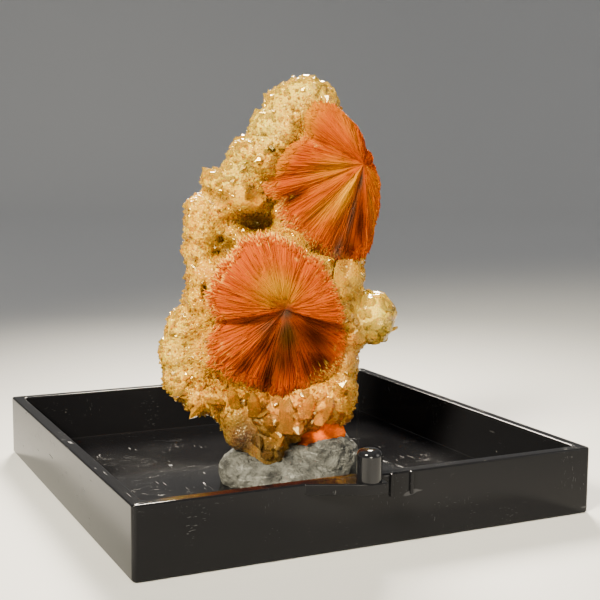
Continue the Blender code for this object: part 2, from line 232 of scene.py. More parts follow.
for name, place, side, power, colour, spread in LIGHTS:
    light_data = bpy.data.lights.new(name, "AREA")
    light_data.shape = "SQUARE"
    light_data.size = side
    light_data.energy = power
    light_data.color = colour
    light_data.spread = radians(spread)
    light = bpy.data.objects.new(name, light_data)
    bpy.context.scene.collection.objects.link(light)
    light.location = place
    light.rotation_euler = (LIGHT_AIM - Vector(place)).to_track_quat("-Z", "Y").to_euler()
print("lights:", [row[0] for row in LIGHTS])

# %% [markdown]
# ## Building materials
# Each finish is a small node tree on a Principled shader. Patterns read Object coordinates, which are
# metres here, so a scale of 1000 makes a pattern about one millimetre wide. The class below keeps the
# trees short: each of its methods adds one kind of node, joins it up, and hands back the socket that the
# next node reads. Values that are the same all over the surface go straight on the shader's sockets.

# %% Node helpers


class Finish:
    """One material and short ways to add nodes to it."""

    def __init__(self, name):
        """Make the material; patterns read its Object coordinates."""
        self.material = bpy.data.materials.new(name)
        self.material.use_nodes = True
        self.tree = self.material.node_tree
        self.shader = self.tree.nodes["Principled BSDF"]
        self.place = self.tree.nodes.new("ShaderNodeTexCoord").outputs["Object"]

    def feed(self, socket, value):
        """Link a socket to another one, or set it to a constant."""
        if isinstance(value, bpy.types.NodeSocket):
            self.tree.links.new(value, socket)
        elif socket.type == "RGBA":
            socket.default_value = (*value, 1.0)
        else:
            socket.default_value = value

    def set(self, **values):
        """Feed the shader's own sockets."""
        for socket, value in values.items():
            self.feed(self.shader.inputs[socket.replace("_", " ")], value)
        return self

    def add(self, kind, output, **values):
        """Add a node, feed its named sockets and hand back one of its outputs."""
        node = self.tree.nodes.new("ShaderNode" + kind)
        for socket, value in values.items():
            self.feed(node.inputs[socket], value)
        return node.outputs[output]

    def attribute(self, name, output="Fac"):
        """What is stored for each vertex of the mesh, as a number or as a vector."""
        node = self.tree.nodes.new("ShaderNodeAttribute")
        node.attribute_name = name
        return node.outputs[output]

    def noise(self, scale, detail=3.0, roughness=0.55, source=None):
        """Soft cloudy values, from Object coordinates or from another vector."""
        return self.add("TexNoise", "Fac", Vector=source or self.place, Scale=scale, Detail=detail,
                        Roughness=roughness)

    def cells(self, scale):
        """The distance to the nearest of many scattered points, for specks and grains."""
        return self.add("TexVoronoi", "Distance", Vector=self.place, Scale=scale)

    def stretched(self, scale, source=None, turn=(0.0, 0.0, 0.0)):
        """Coordinates turned and stretched, so that a noise on them makes streaks."""
        return self.add("Mapping", "Vector", Vector=source or self.place, Rotation=turn, Scale=scale)

    def spokes(self, scale):
        """Noise places that run along the rays of a spray."""
        return self.stretched(scale, self.attribute("spoke", "Vector"))

    def ramp(self, source, *stops):
        """A colour ramp. Each stop is a position with a colour or a grey value."""
        node = self.tree.nodes.new("ShaderNodeValToRGB")
        band = node.color_ramp
        while len(band.elements) < len(stops):
            band.elements.new(1.0)
        for element, (position, value) in zip(band.elements, stops):
            element.position = position
            grey = isinstance(value, (int, float))
            element.color = (value, value, value, 1.0) if grey else (*value, 1.0)
        self.feed(node.inputs["Fac"], source)
        return node.outputs["Color"]

    def mix(self, share, low, high, blend="MIX"):
        """Two colours mixed by a share; each of the three is a socket or a constant."""
        node = self.tree.nodes.new("ShaderNodeMix")
        node.data_type = "RGBA"
        node.blend_type = blend
        colours = [s for s in node.inputs if s.type == "RGBA"]
        factor = next(s for s in node.inputs if s.type == "VALUE" and s.enabled)
        for socket, value in zip((factor, *colours), (share, low, high)):
            self.feed(socket, value)
        return next(s for s in node.outputs if s.type == "RGBA")

    def math(self, operation, first, second):
        """One sum on sockets or constants."""
        node = self.tree.nodes.new("ShaderNodeMath")
        node.operation = operation
        for socket, value in zip(node.inputs, (first, second)):
            self.feed(socket, value)
        return node.outputs["Value"]

    def bump(self, height, distance, strength, **under):
        """A bumped normal, laid over another one if that is given as Normal."""
        return self.add("Bump", "Normal", Height=height, Distance=distance, Strength=strength, **under)


print("node helpers are ready")

# %% [markdown]
# ## The display box base
# The real base is injection moulded in black polystyrene: polished, with slightly rounded rims, a catch
# tab on the front wall and a round pin standing on the tab. The tray could be a cube with a cutter, but
# one outline bridged up the outside, over the rim and down to the floor gives clean, even bevels. The
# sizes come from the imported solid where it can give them.

# %% Tray
WALL = 2.05
FLOOR = 1.8
BOX_HEIGHT = 10.7
BOX_SIDE = 2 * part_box("display_box_base")[1].x / MM
CORNER_RADIUS = 0.7
INNER_RADIUS = 0.6
CORNER_STEPS = 6
RIM_BEVEL = 0.28
SHARP_ANGLE = 50
flat_in_mm = Matrix.Scale(MM, 4)


def rounded_square(bm, side, radius, height):
    """The edges of a square outline with rounded corners, at one height."""
    corner = side / 2 - radius
    verts = []
    for quarter in range(4):
        middle = Matrix.Rotation(quarter * pi / 2, 3, "Z") @ Vector((corner, corner, 0))
        for step in range(CORNER_STEPS + 1):
            angle = (quarter + step / CORNER_STEPS) * pi / 2
            verts.append(bm.verts.new(middle + Vector((radius * cos(angle), radius * sin(angle), height))))
    return [bm.edges.new((vert, verts[number - 1])) for number, vert in enumerate(verts)]


def tray_levels():
    """Side, corner radius and height of each outline, from the underside round to the box floor."""
    hollow = BOX_SIDE - 2 * WALL
    levels = [(BOX_SIDE - 2 * RIM_BEVEL, CORNER_RADIUS - RIM_BEVEL, 0.0)]
    turns = [radians(angle) for angle in (0, 30, 60, 90)]
    for turn in turns:
        inset = RIM_BEVEL * (1 - cos(turn))
        levels.append((BOX_SIDE - 2 * inset, CORNER_RADIUS - inset, BOX_HEIGHT - RIM_BEVEL * (1 - sin(turn))))
    for turn in reversed(turns):
        inset = RIM_BEVEL * (1 - cos(turn))
        levels.append((hollow + 2 * inset, INNER_RADIUS + inset, BOX_HEIGHT - RIM_BEVEL * (1 - sin(turn))))
    levels.insert(1, (BOX_SIDE, CORNER_RADIUS, RIM_BEVEL))
    levels.append((hollow, INNER_RADIUS, FLOOR + RIM_BEVEL))
    levels.append((hollow - 2 * RIM_BEVEL, INNER_RADIUS - RIM_BEVEL, FLOOR))
    return levels


bm = bmesh.new()
outlines = [rounded_square(bm, *level) for level in tray_levels()]
for lower, upper in zip(outlines, outlines[1:]):
    bmesh.ops.bridge_loops(bm, edges=lower + upper)
for outline in (outlines[0], outlines[-1]):
    bmesh.ops.contextual_create(bm, geom=outline)
bmesh.ops.recalc_face_normals(bm, faces=bm.faces)
tray = piece_from(bm, "display_box_tray", place=flat_in_mm)


def keep_flat(target):
    """Shade rounded edges smoothly while the large flats stay flat."""
    target.data.set_sharp_from_angle(angle=radians(SHARP_ANGLE))
    weigh = target.modifiers.new("flats", "WEIGHTED_NORMAL")
    weigh.keep_sharp = True
    weigh.weight = 100
    settle(target)


keep_flat(tray)
print("tray outlines:", len(outlines), "triangles:", triangles(tray))

# %% [markdown]
# The catch is small but close to the viewer. The tab is an outline extruded and bevelled, and the pin is
# a profile spun about its own axis, so its crown is truly round.

# %% Catch tab, pin and ribs
TAB_OUTLINE = ((-12.8, -37.0), (-12.8, -38.05), (-6.4, -40.8), (-4.4, -42.0), (-1.4, -42.0), (-1.4, -37.0))
TAB_THICKNESS = 1.7
TAB_BELOW_RIM = 0.02
PIN_X = -3.5
PIN_Y = -40.0
PIN_RADIUS = 1.85
PIN_HEIGHT = 4.6
PIN_ROUNDING = 1.0
PIN_SUNK = 0.4
PIN_CROWN = 0.02
PIN_STEPS = 8
PIN_SIDES = 48
RIB_PLACES = (1.3, 4.7)
RIB_SIZE = (0.5, 1.4, 3.4)
RIB_PROUD = 0.35
RIB_BELOW_RIM = 0.1
RIB_BEVEL = 0.08
CATCH_BEVEL = 0.22
LEAST_TURN = 35


def bevel_edges(bm, offset, segments):
    """Round the sharp edges of a small moulded part."""
    sharp = [edge for edge in bm.edges if edge.is_manifold and edge.calc_face_angle(0) > radians(LEAST_TURN)]
    bmesh.ops.bevel(bm, geom=sharp, offset=offset, segments=segments, profile=0.5, affect="EDGES",
                    material=-1, clamp_overlap=True)


def make_tab():
    """The tab: its outline raised to its thickness, level with the rim."""
    bm = bmesh.new()
    level = BOX_HEIGHT - TAB_BELOW_RIM - TAB_THICKNESS
    sheet = bm.faces.new([bm.verts.new((x, y, level)) for x, y in TAB_OUTLINE])
    moved = bmesh.ops.extrude_face_region(bm, geom=[sheet])["geom"]
    lifted = [item for item in moved if isinstance(item, bmesh.types.BMVert)]
    bmesh.ops.translate(bm, vec=(0, 0, TAB_THICKNESS), verts=lifted)
    bmesh.ops.recalc_face_normals(bm, faces=bm.faces)
    bevel_edges(bm, CATCH_BEVEL, 3)
    return bm


def make_pin():
    """The pin: a rounded profile spun once round."""
    foot = BOX_HEIGHT - PIN_SUNK
    crown = BOX_HEIGHT + PIN_HEIGHT
    profile = [(0.0, foot), (PIN_RADIUS, foot), (PIN_RADIUS, crown - PIN_ROUNDING)]
    for step in range(1, PIN_STEPS):
        turn = step / PIN_STEPS * pi / 2
        profile.append((PIN_RADIUS - PIN_ROUNDING * (1 - cos(turn)), crown - PIN_ROUNDING * (1 - sin(turn))))
    profile.append((PIN_RADIUS - PIN_ROUNDING, crown))
    profile.append((0.0, crown + PIN_CROWN))
    return spun(profile, (PIN_X, PIN_Y), PIN_SIDES)


def make_rib(across):
    """One thin upright rib on the outside of the front wall."""
    bm = bmesh.new()
    front = -BOX_SIDE / 2 - RIB_PROUD
    top = BOX_HEIGHT - RIB_BELOW_RIM
    middle = (across, front + RIB_SIZE[1] / 2, top - RIB_SIZE[2] / 2)
    bmesh.ops.create_cube(bm, size=1.0, matrix=Matrix.Translation(middle) @ Matrix.Diagonal((*RIB_SIZE, 1)))
    bevel_edges(bm, RIB_BEVEL, 2)
    return bm


pin = piece_from(make_pin(), "display_box_pin", place=flat_in_mm)
catch_parts = [piece_from(make_tab(), "display_box_tab", place=flat_in_mm), pin]
for number, across in enumerate(RIB_PLACES, start=1):
    catch_parts.append(piece_from(make_rib(across), f"display_box_rib_{number}", place=flat_in_mm))
for part in catch_parts:
    keep_flat(part)
print("catch pieces:", [part.name for part in catch_parts])

# %% [markdown]
# Polished styrene is nearly black with a clear hard gloss. What makes it look real is what spoils the
# gloss: a faint haze where it was wiped, short hairline scratches in many directions, and dust. The
# scratches are stretched noise with a narrow ramp, used for roughness and a very low bump. The pin stands
# where fingers touch it, so it has the same finish with more gloss.

# %% Black styrene
STYRENE_BLACK = (0.006, 0.006, 0.007)
STYRENE_SCRATCH = (0.045, 0.045, 0.048)
STYRENE_DUST = (0.22, 0.21, 0.20)
TRAY_GLOSS = 0.10
PIN_GLOSS = 0.28
MARKED_ROUGHNESS = 0.35
SCRATCHES = (
    # turn in radians, and how the noise is stretched
    (0.3, (260, 9000, 900)),
    (1.2, (7000, 240, 1100)),
    (2.2, (1400, 300, 8000)),
)


def black_styrene(name, gloss):
    """Black plastic with a haze, hairline scratches and dust."""
    finish = Finish(name).set(IOR=1.59, Specular_IOR_Level=gloss)
    scratches = []
    for turn, stretch in SCRATCHES:
        line = finish.noise(1.0, 1.0, 0.4, finish.stretched(stretch, turn=(turn, turn * 0.7, turn)))
        patch = finish.ramp(finish.noise(90 + 30 * turn, 2.0), (0.56, 0.0), (0.64, 1.0))
        scratches.append(finish.math("MULTIPLY", finish.ramp(line, (0.70, 0.0), (0.74, 1.0)), patch))
    hair = finish.math("MAXIMUM", finish.math("MAXIMUM", scratches[0], scratches[1]), scratches[2])
    specks = finish.ramp(finish.cells(420), (0.035, 1.0), (0.06, 0.0))
    where = finish.ramp(finish.noise(160, 2.0), (0.60, 0.0), (0.66, 1.0))
    dust = finish.math("MULTIPLY", specks, where)
    haze = finish.ramp(finish.noise(45, 4.0, 0.6), (0.35, 0.055), (0.75, 0.16))
    colour = finish.mix(hair, STYRENE_BLACK, STYRENE_SCRATCH)
    colour = finish.mix(dust, colour, STYRENE_DUST)
    marks = finish.math("MULTIPLY", finish.math("MAXIMUM", hair, dust), MARKED_ROUGHNESS)
    rough = finish.math("ADD", haze, marks)
    normal = finish.bump(finish.math("SUBTRACT", dust, hair), 0.00004, 0.5)
    return finish.set(Base_Color=colour, Roughness=rough, Normal=normal).material


styrene = black_styrene("black_styrene", TRAY_GLOSS)
polished = black_styrene("polished_styrene", PIN_GLOSS)
for part in [tray, *catch_parts]:
    part.data.materials.append(polished if part is pin else styrene)
    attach(part, "root")
    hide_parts("display_box_base")
print("styrene finish on", 1 + len(catch_parts), "pieces")

# %% [markdown]
# ## The putty
# Mounting putty is kneaded grey wax. Fingers and the stone pressed it into soft lumps, so its form is a
# few overlapping ellipsoids melted into one skin by a voxel remesh, and then pushed in and out by soft
# noise. Remeshing was chosen over sculpting vertex by vertex because the same few rows that make the
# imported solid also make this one.

# %% Lumps melted into one skin
PUTTY_LUMPS = (
    # across, up, near, half across, half up, half near
    (2.6, 2.0, 5.4, 11.6, 6.2, 8.2),
    (-4.4, 3.2, 6.0, 5.0, 4.0, 7.2),
    (9.0, 4.8, 5.0, 5.4, 5.3, 6.4),
    (3.0, 2.2, 10.4, 9.8, 3.4, 4.0),
)
PUTTY_SWELL = 0.15
PUTTY_VOXEL = 0.24
PUTTY_SOFTENING = 8
PUTTY_FOOT = 0.05
PUTTY_RELIEF = (
    # name, size and height of the noise
    ("putty_presses", 3.0, 1.3),
    ("putty_folds", 0.9, 0.42),
)


def add_lumps(bm, rows, swell, subdivisions):
    """Overlapping ellipsoids, one for each row of across, up, near and three half sizes."""
    for across, up, near, *halves in rows:
        half_across, half_up, half_near = (half + swell for half in halves)
        size = Matrix.Diagonal((half_across, half_near, half_up, 1))
        bmesh.ops.create_icosphere(bm, subdivisions=subdivisions, radius=1.0,
                                   matrix=Matrix.Translation((across, -near, up)) @ size)


def melt(target, voxel, softening):
    """Join overlapping lumps into one skin with a voxel remesh, and soften the creases."""
    fuse = target.modifiers.new("fuse", "REMESH")
    fuse.mode = "VOXEL"
    fuse.voxel_size = voxel * MM
    soften = target.modifiers.new("soften", "SMOOTH")
    soften.factor = 0.5
    soften.iterations = softening
    return settle(target)


def cloud(name, kind, size):
    """A procedural texture for a Displace modifier."""
    texture = bpy.data.textures.new(name, kind)
    texture.noise_scale = size * MM
    return texture


def push(target, texture, strength, middle=0.5):
    """Add one Displace modifier along the normals."""
    step = target.modifiers.new(texture.name, "DISPLACE")
    step.texture = texture
    step.texture_coords = "LOCAL"
    step.strength = strength * MM
    step.mid_level = middle


def cut_flat(target, height):
    """Cut a mesh level and close it, keeping what is above."""
    bm = bmesh.new()
    bm.from_mesh(target.data)
    geometry = list(bm.verts) + list(bm.edges) + list(bm.faces)
    bmesh.ops.bisect_plane(bm, geom=geometry, plane_co=(0, 0, height * MM), plane_no=(0, 0, 1),
                           clear_inner=True)
    rim = [edge for edge in bm.edges if edge.is_boundary]
    bmesh.ops.holes_fill(bm, edges=rim, sides=0)
    bm.to_mesh(target.data)
    bm.free()


bm = bmesh.new()
add_lumps(bm, PUTTY_LUMPS, PUTTY_SWELL, 4)
putty = piece_from(bm, "putty_mound_skin")
melt(putty, PUTTY_VOXEL, PUTTY_SOFTENING)
for name, size, height in PUTTY_RELIEF:
    push(putty, cloud(name, "CLOUDS", size), height)
settle(putty)
cut_flat(putty, FLOOR + PUTTY_FOOT)
print("putty triangles:", triangles(putty))

# %% [markdown]
# The putty's grey has a faint green cast. It is darker where it is clean, paler and chalky where it was
# stretched, and its surface is covered in fine grain from handling.

# %% Putty finish
PUTTY_DARK = (0.015, 0.015, 0.013)
PUTTY_GREY = (0.110, 0.110, 0.096)
PUTTY_CHALK = (0.30, 0.30, 0.27)


def grey_putty():
    """Mottled grey wax with chalky streaks, fine grain and small creases."""
    finish = Finish("grey_putty").set(IOR=1.45)
    tone = finish.ramp(finish.noise(320, 4.0, 0.6), (0.34, PUTTY_DARK), (0.62, PUTTY_GREY))
    grain = finish.noise(2800, 3.0, 0.7)
    streak = finish.noise(1.0, 3.0, 0.6, finish.stretched((260, 260, 1400)))
    chalk = finish.math("MULTIPLY", finish.ramp(streak, (0.55, 0.0), (0.68, 1.0)),
                        finish.ramp(grain, (0.42, 0.1), (0.6, 0.9)))
    colour = finish.mix(chalk, tone, PUTTY_CHALK)
    creases = finish.ramp(finish.noise(900, 4.0, 0.6), (0.3, 0.0), (0.5, 1.0))
    normal = finish.bump(grain, 0.00024, 0.9)
    normal = finish.bump(creases, 0.00034, 0.8, Normal=normal)
    rough = finish.ramp(grain, (0.3, 0.5), (0.7, 0.85))
    return finish.set(Base_Color=colour, Roughness=rough, Normal=normal).material


putty.data.materials.append(grey_putty())
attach(putty, "root")
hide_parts("putty_mound")
print("putty finish is on")

# %% [markdown]
# ## The chalcedony plate
# Chalcedony grows as rounded crusts, layer on layer, and ends here in a sugary skin of tiny quartz
# points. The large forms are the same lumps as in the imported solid. Smaller nodules and shingled plates
# are added before the remesh, so that they run into one another as grown layers do.

# %% Large lumps
CHALCEDONY_LUMPS = (
    # across, up, near, half across, half up, half near
    (4.6, 65.4, 1.5, 4.8, 4.3, 5.4),
    (7.5, 64.4, 0.5, 3.0, 4.3, 4.8),
    (0.9, 64.6, 1.5, 3.0, 3.4, 4.8),
    (-0.9, 61.3, 2.3, 3.6, 3.0, 5.2),
    (2.4, 60.2, 2.6, 4.6, 4.6, 5.4),
    (-4.0, 57.2, 2.4, 4.0, 2.8, 5.4),
    (-6.2, 55.0, 2.0, 2.5, 2.2, 4.4),
    (0.0, 56.0, 2.8, 5.2, 4.0, 5.6),
    (-10.5, 52.3, 1.6, 2.3, 2.0, 4.0),
    (-7.6, 51.8, 2.4, 4.6, 2.6, 5.4),
    (-5.0, 49.6, 4.4, 3.2, 2.8, 4.6),
    (-12.7, 47.3, 1.6, 2.9, 2.8, 4.8),
    (-9.2, 46.6, 1.4, 4.2, 4.4, 4.8),
    (-12.4, 43.8, 2.0, 3.3, 3.8, 5.2),
    (-13.0, 40.4, 2.0, 3.1, 2.6, 5.0),
    (-12.0, 36.4, 2.4, 3.3, 4.0, 5.6),
    (-12.4, 32.3, 2.2, 3.3, 3.4, 5.8),
    (-15.2, 27.3, 2.0, 3.6, 3.7, 5.6),
    (-16.3, 23.0, 2.0, 3.9, 3.7, 5.4),
    (-11.6, 29.4, 2.4, 2.6, 3.8, 5.0),
    (-12.2, 23.6, 2.2, 2.8, 4.2, 5.2),
    (-14.9, 18.4, 2.4, 4.5, 3.6, 5.6),
    (-11.6, 15.6, 3.0, 4.5, 3.2, 5.8),
    (-6.4, 13.4, 4.0, 4.0, 4.0, 6.0),
    (-5.3, 9.9, 5.6, 3.5, 3.3, 4.4),
    (-2.2, 8.0, 6.6, 2.9, 3.2, 3.9),
    (-0.8, 7.4, 8.4, 2.6, 3.2, 3.6),
    (-1.0, 12.8, 4.6, 4.2, 4.4, 6.4),
    (3.6, 13.2, 4.6, 4.2, 4.6, 6.4),
    (8.2, 14.8, 4.0, 4.4, 4.2, 6.2),
    (11.3, 16.4, 3.0, 2.8, 3.9, 5.4),
    (10.6, 13.4, 3.0, 2.5, 2.6, 4.6),
    (12.0, 21.4, 2.0, 2.3, 3.6, 5.2),
    (16.5, 29.2, 2.4, 3.8, 4.3, 4.8),
    (12.8, 27.2, 2.0, 3.2, 4.0, 5.2),
    (11.8, 32.4, 2.0, 3.3, 4.2, 5.2),
    (12.0, 36.6, 2.0, 3.0, 4.0, 5.0),
    (12.6, 40.0, 0.8, 2.4, 4.6, 4.4),
    (7.0, 56.3, -1.0, 7.2, 8.4, 5.4),
    (9.0, 47.0, -1.0, 7.0, 8.6, 5.4),
    (13.2, 50.0, -1.4, 3.0, 7.2, 4.4),
    (-3.5, 45.2, -1.2, 6.0, 5.0, 4.2),
    (-8.0, 41.0, 1.2, 4.0, 5.2, 4.8),
    (0.0, 36.0, -1.0, 11.6, 9.2, 6.4),
    (-1.0, 23.6, -0.6, 13.6, 10.2, 6.8),
    (5.6, 28.0, -1.0, 9.2, 10.6, 6.4),
    (-6.6, 28.6, -4.8, 5.6, 5.4, 4.0),
    (4.6, 32.4, -5.0, 6.0, 5.6, 4.0),
    (-5.0, 38.6, -3.8, 5.2, 4.8, 3.6),
    (5.4, 43.6, -4.4, 5.4, 5.6, 3.6),
    (0.2, 53.2, -3.4, 5.2, 5.2, 3.6),
    (8.8, 53.6, -4.0, 4.8, 5.0, 3.2),
    (5.2, 61.0, -2.8, 4.4, 4.6, 3.4),
    (2.6, 19.4, -4.6, 6.0, 5.4, 4.0),
    (-9.0, 19.8, -3.6, 5.0, 4.8, 3.6),
    (9.6, 24.0, -3.8, 4.2, 4.8, 3.4),
)

# %% [markdown]
# A voxel mesh knows nothing of crystals, so smaller forms are scattered on the melted lumps: random
# places of the skin, chosen with fixed seeds so that every run grows the same stone. The scattering is
# done on whole arrays at once, which is far quicker than adding thousands of small meshes one by one.

# %% Array helpers


def rows_of(items, name, width=3, kind=np.float32):
    """The numbers that a mesh stores under one name, as rows."""
    values = np.zeros(len(items) * width, kind)
    items.foreach_get(name, values)
    return values.reshape(-1, width)


def mesh_arrays(target):
    """An object's points and normals in the specimen's frame, and its triangles."""
    mesh = target.data
    mesh.calc_loop_triangles()
    back = np.array(to_specimen)[:3, :3]
    turn = back / np.linalg.norm(back, axis=0)
    return (rows_of(mesh.vertices, "co") @ back.T, rows_of(mesh.vertex_normals, "vector") @ turn.T,
            rows_of(mesh.loop_triangles, "vertices", kind=np.int32))


def put_points(target, points):
    """Write points in the specimen's frame back into a mesh."""
    target.data.vertices.foreach_set("co", (points @ np.array(to_row)[:3, :3].T).astype(np.float32).ravel())
    target.data.update()


def object_from_arrays(name, points, corners, smooth=False):
    """Make an object from points in the specimen's frame and triangles."""
    mesh = bpy.data.meshes.new(name)
    mesh.vertices.add(len(points))
    mesh.loops.add(corners.size)
    mesh.loops.foreach_set("vertex_index", corners.astype(np.int32).ravel())
    mesh.polygons.add(len(corners))
    mesh.polygons.foreach_set("loop_start", np.arange(0, corners.size, 3, dtype=np.int32))
    mesh.polygons.foreach_set("use_smooth", np.full(len(corners), smooth))
    made = bpy.data.objects.new(name, mesh)
    put_points(made, points)
    mesh.update(calc_edges=True)
    bpy.context.scene.collection.objects.link(made)
    return made


def prototype(bm):
    """Read a small bmesh into arrays and free it."""
    bmesh.ops.triangulate(bm, faces=bm.faces)
    bm.verts.index_update()
    points = np.array([vert.co[:] for vert in bm.verts])
    corners = np.array([[vert.index for vert in face.verts] for face in bm.faces])
    bm.free()
    return points, corners


def unit(vectors):
    """Vectors brought to a length of one."""
    return vectors / np.maximum(np.linalg.norm(vectors, axis=-1, keepdims=True), 1e-9)


def frames_on(normals, rng, lean):
    """Rotations whose Z is a normal, leaned and turned at random."""
    z = unit(normals + rng.normal(0, lean, normals.shape))
    x = unit(np.cross(z, rng.normal(0, 1, z.shape)))
    return np.stack((x, np.cross(z, x), z), axis=2)


def copies(shape, places, turns, sizes):
    """Turned and scaled copies of one small mesh, stacked into one set of points and triangles."""
    points, corners = shape
    moved = np.einsum("nij,nkj->nki", turns, points[None] * sizes[:, None]) + places[:, None]
    offset = np.arange(len(places))[:, None, None] * len(points)
    return moved.reshape(-1, 3), (corners[None] + offset).reshape(-1, 3)


def stack(*parts):
    """Join several sets of points and triangles into one."""
    start = 0
    corners = []
    for points, part in parts:
        corners.append(part + start)
        start += len(points)
    return np.concatenate([points for points, part in parts]), np.concatenate(corners)


def thinned(places, spacing):
    """Indices that keep one place in every small cube of space."""
    return np.unique(np.floor(places / spacing).astype(int), axis=0, return_index=True)[1]


def skin_places(target, count, rng, spacing):
    """Random places on a skin with their normals, no nearer to each other than a spacing."""
    points, normals, corners = mesh_arrays(target)
    a, b, c = (points[corners[:, corner]] for corner in range(3))
    cross = np.cross(b - a, c - a)
    area = np.linalg.norm(cross, axis=1)
    picked = rng.choice(len(area), size=count, p=area / area.sum())
    share = rng.random((count, 2))
    over = share.sum(axis=1) > 1
    share[over] = 1 - share[over]
    places = a[picked] + share[:, :1] * (b - a)[picked] + share[:, 1:] * (c - a)[picked]
    keep = thinned(places, spacing)
    return places[keep], unit(cross[picked][keep])


def apart(points, across, up, half_across, half_up):
    """How far points are from the middle of a spot, squared: one on its edge."""
    return ((points[:, 0] - across) / half_across) ** 2 + ((points[:, 2] - up) / half_up) ** 2


def stain(points, spots):
    """How strongly a list of spots marks each point: across, up, half across, half up, strength."""
    total = np.zeros(len(points))
    for *spot, strength in spots:
        total = np.maximum(total, strength * np.exp(-apart(points, *spot)))
    return total


def zero_to_one(values):
    """Values brought to a range from zero to one."""
    return (values - values.min()) / np.ptp(values)


print("array helpers are ready")

# %% [markdown]
# ## How a spray is laid out
# Scolecite grows as needles that fan out from one point. A spray is therefore drawn in polar terms: each
# ray has an angle, a reach, and how far the face stands towards the viewer half way out and at the rim.
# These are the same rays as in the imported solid; the scene only puts far more needles between them. A
# ray's row is its angle, its reach, and the face's height half way out and at the rim.

# %% Rays of the sprays
UPPER_SPRAY = {
    "centre": (14.4, 55.3, 6.0),
    "pit": 0.6,
    "depth": 5.0,
    "slope": (0.03, 0.0),
    "relief": 0.32,
    "rays": (
        (8, 1.6, -0.8, -2.0),
        (80, 2.6, -0.6, -2.2),
        (106, 7.2, 0.6, -0.8),
        (116, 10.4, 1.6, 0.4),
        (131, 12.8, 2.2, 1.0),
        (142, 12.3, 1.6, 0.6),
        (151, 10.8, 0.6, -0.4),
        (157, 10.9, 1.2, 0.6),
        (170, 13.0, 2.2, 1.4),
        (179, 14.2, 2.4, 1.4),
        (187, 14.6, 1.4, 0.6),
        (190, 16.4, 1.0, -0.2),
        (197, 17.2, 1.2, -0.6),
        (204, 14.9, 0.6, -0.8),
        (210, 16.3, 1.6, 0.8),
        (221, 16.3, 2.0, 1.0),
        (231, 15.6, 1.4, 0.4),
        (240, 16.4, 1.8, 0.8),
        (252, 16.6, 0.4, -0.6),
        (261, 16.0, -0.4, -1.2),
        (267, 15.4, 0.8, 0.2),
        (274, 14.6, 1.0, -0.4),
        (281, 10.4, 0.2, -1.6),
        (301, 5.4, -0.6, -2.2),
        (330, 2.6, -1.0, -2.2),
    ),
}
LOWER_SPRAY = {
    "centre": (1.6, 31.1, 7.8),
    "pit": -0.9,
    "depth": 5.4,
    "slope": (0.0, 0.02),
    "relief": 1.0,
    "rays": (
        (348, 9.8, 1.6, 1.0),
        (10, 9.3, 2.2, 1.2),
        (34, 9.1, 2.4, 1.0),
        (58, 10.2, 2.2, 0.8),
        (68, 10.0, 2.0, 0.8),
        (84, 11.4, 2.4, 1.2),
        (105, 13.4, 2.6, 1.4),
        (122, 13.9, 2.6, 1.2),
        (130, 13.1, 2.4, 1.0),
        (150, 13.1, 2.4, 1.0),
        (171, 13.2, 2.2, 0.8),
        (188, 11.4, 2.0, 0.4),
        (192, 11.4, 0.2, -0.2),
        (204, 14.0, 0.4, 0.2),
        (217, 15.6, 0.8, 0.4),
        (228, 14.8, 0.4, 0.0),
        (240, 14.2, -0.6, -0.6),
        (251, 14.0, -0.8, -0.8),
        (267, 15.0, -0.6, -0.6),
        (280, 13.6, -0.8, -0.8),
        (303, 13.0, -1.0, -1.2),
        (314, 13.3, -1.0, -1.0),
        (330, 11.4, -0.8, -0.8),
        (342, 10.4, -0.4, -0.4),
    ),
}
FOOT_SPRAY = {
    "centre": (8.0, 9.6, 7.4),
    "pit": 1.4,
    "depth": 3.4,
    "slope": (-0.05, 0.0),
    "relief": 1.0,
    "rays": (
        (0, 3.9, 0.8, -0.6),
        (25, 3.9, 0.9, -0.4),
        (55, 2.4, 1.0, 0.2),
        (95, 2.1, 1.0, 0.2),
        (140, 1.6, 1.0, 0.2),
        (180, 3.6, 0.8, 0.0),
        (205, 4.6, 0.6, -0.2),
        (225, 3.6, 0.8, -0.2),
        (270, 2.2, 0.9, 0.0),
        (320, 2.0, 0.9, -0.2),
    ),
}
SPRAYS = (UPPER_SPRAY, LOWER_SPRAY, FOOT_SPRAY)

# %% Reading the rays


def along_rays(spray, angle, column):
    """One column of the rays at given angles, straight between neighbouring rays."""
    rays = np.array(sorted(spray["rays"]), float)
    turn = np.array([360.0, 0, 0, 0])
    rays = np.vstack((rays[-1] - turn, rays, rays[0] + turn))
    return np.interp(angle, rays[:, 0], rays[:, column])


def polar_of(spray, points):
    """The angle of points seen from a spray's centre, and how far out they are: one at the rim."""
    across, up, near = spray["centre"]
    east, north = points[:, 0] - across, points[:, 2] - up
    angle = np.degrees(np.arctan2(north, east)) % 360
    return angle, np.hypot(east, north) / along_rays(spray, angle, 1)


def past_rim(spray, points):
    """The angle of points, how far out they are, and how many millimetres past the rim that is."""
    angle, out = polar_of(spray, points)
    return angle, out, (out - 1) * along_rays(spray, angle, 1)


def face_rise(spray, angle, out):
    """How far the face stands towards the viewer, from the pit through half way to the rim."""
    middle, rim, pit = along_rays(spray, angle, 2), along_rays(spray, angle, 3), spray["pit"]
    return pit * (1 - out) * (1 - 2 * out) + middle * 4 * out * (1 - out) + rim * out * (2 * out - 1)


def face_point(spray, angle, out, reach_more=0.0, rise_more=0.0):
    """Places on a spray's face, moved outwards along the ray or towards the viewer."""
    across, up, near = spray["centre"]
    reach = along_rays(spray, angle, 1) * out + reach_more
    east, north = reach * np.cos(np.radians(angle)), reach * np.sin(np.radians(angle))
    rise = face_rise(spray, angle, out) + rise_more
    rise = rise + spray["slope"][0] * east + spray["slope"][1] * north
    return np.stack((across + east, -(near + rise), up + north), axis=-1)


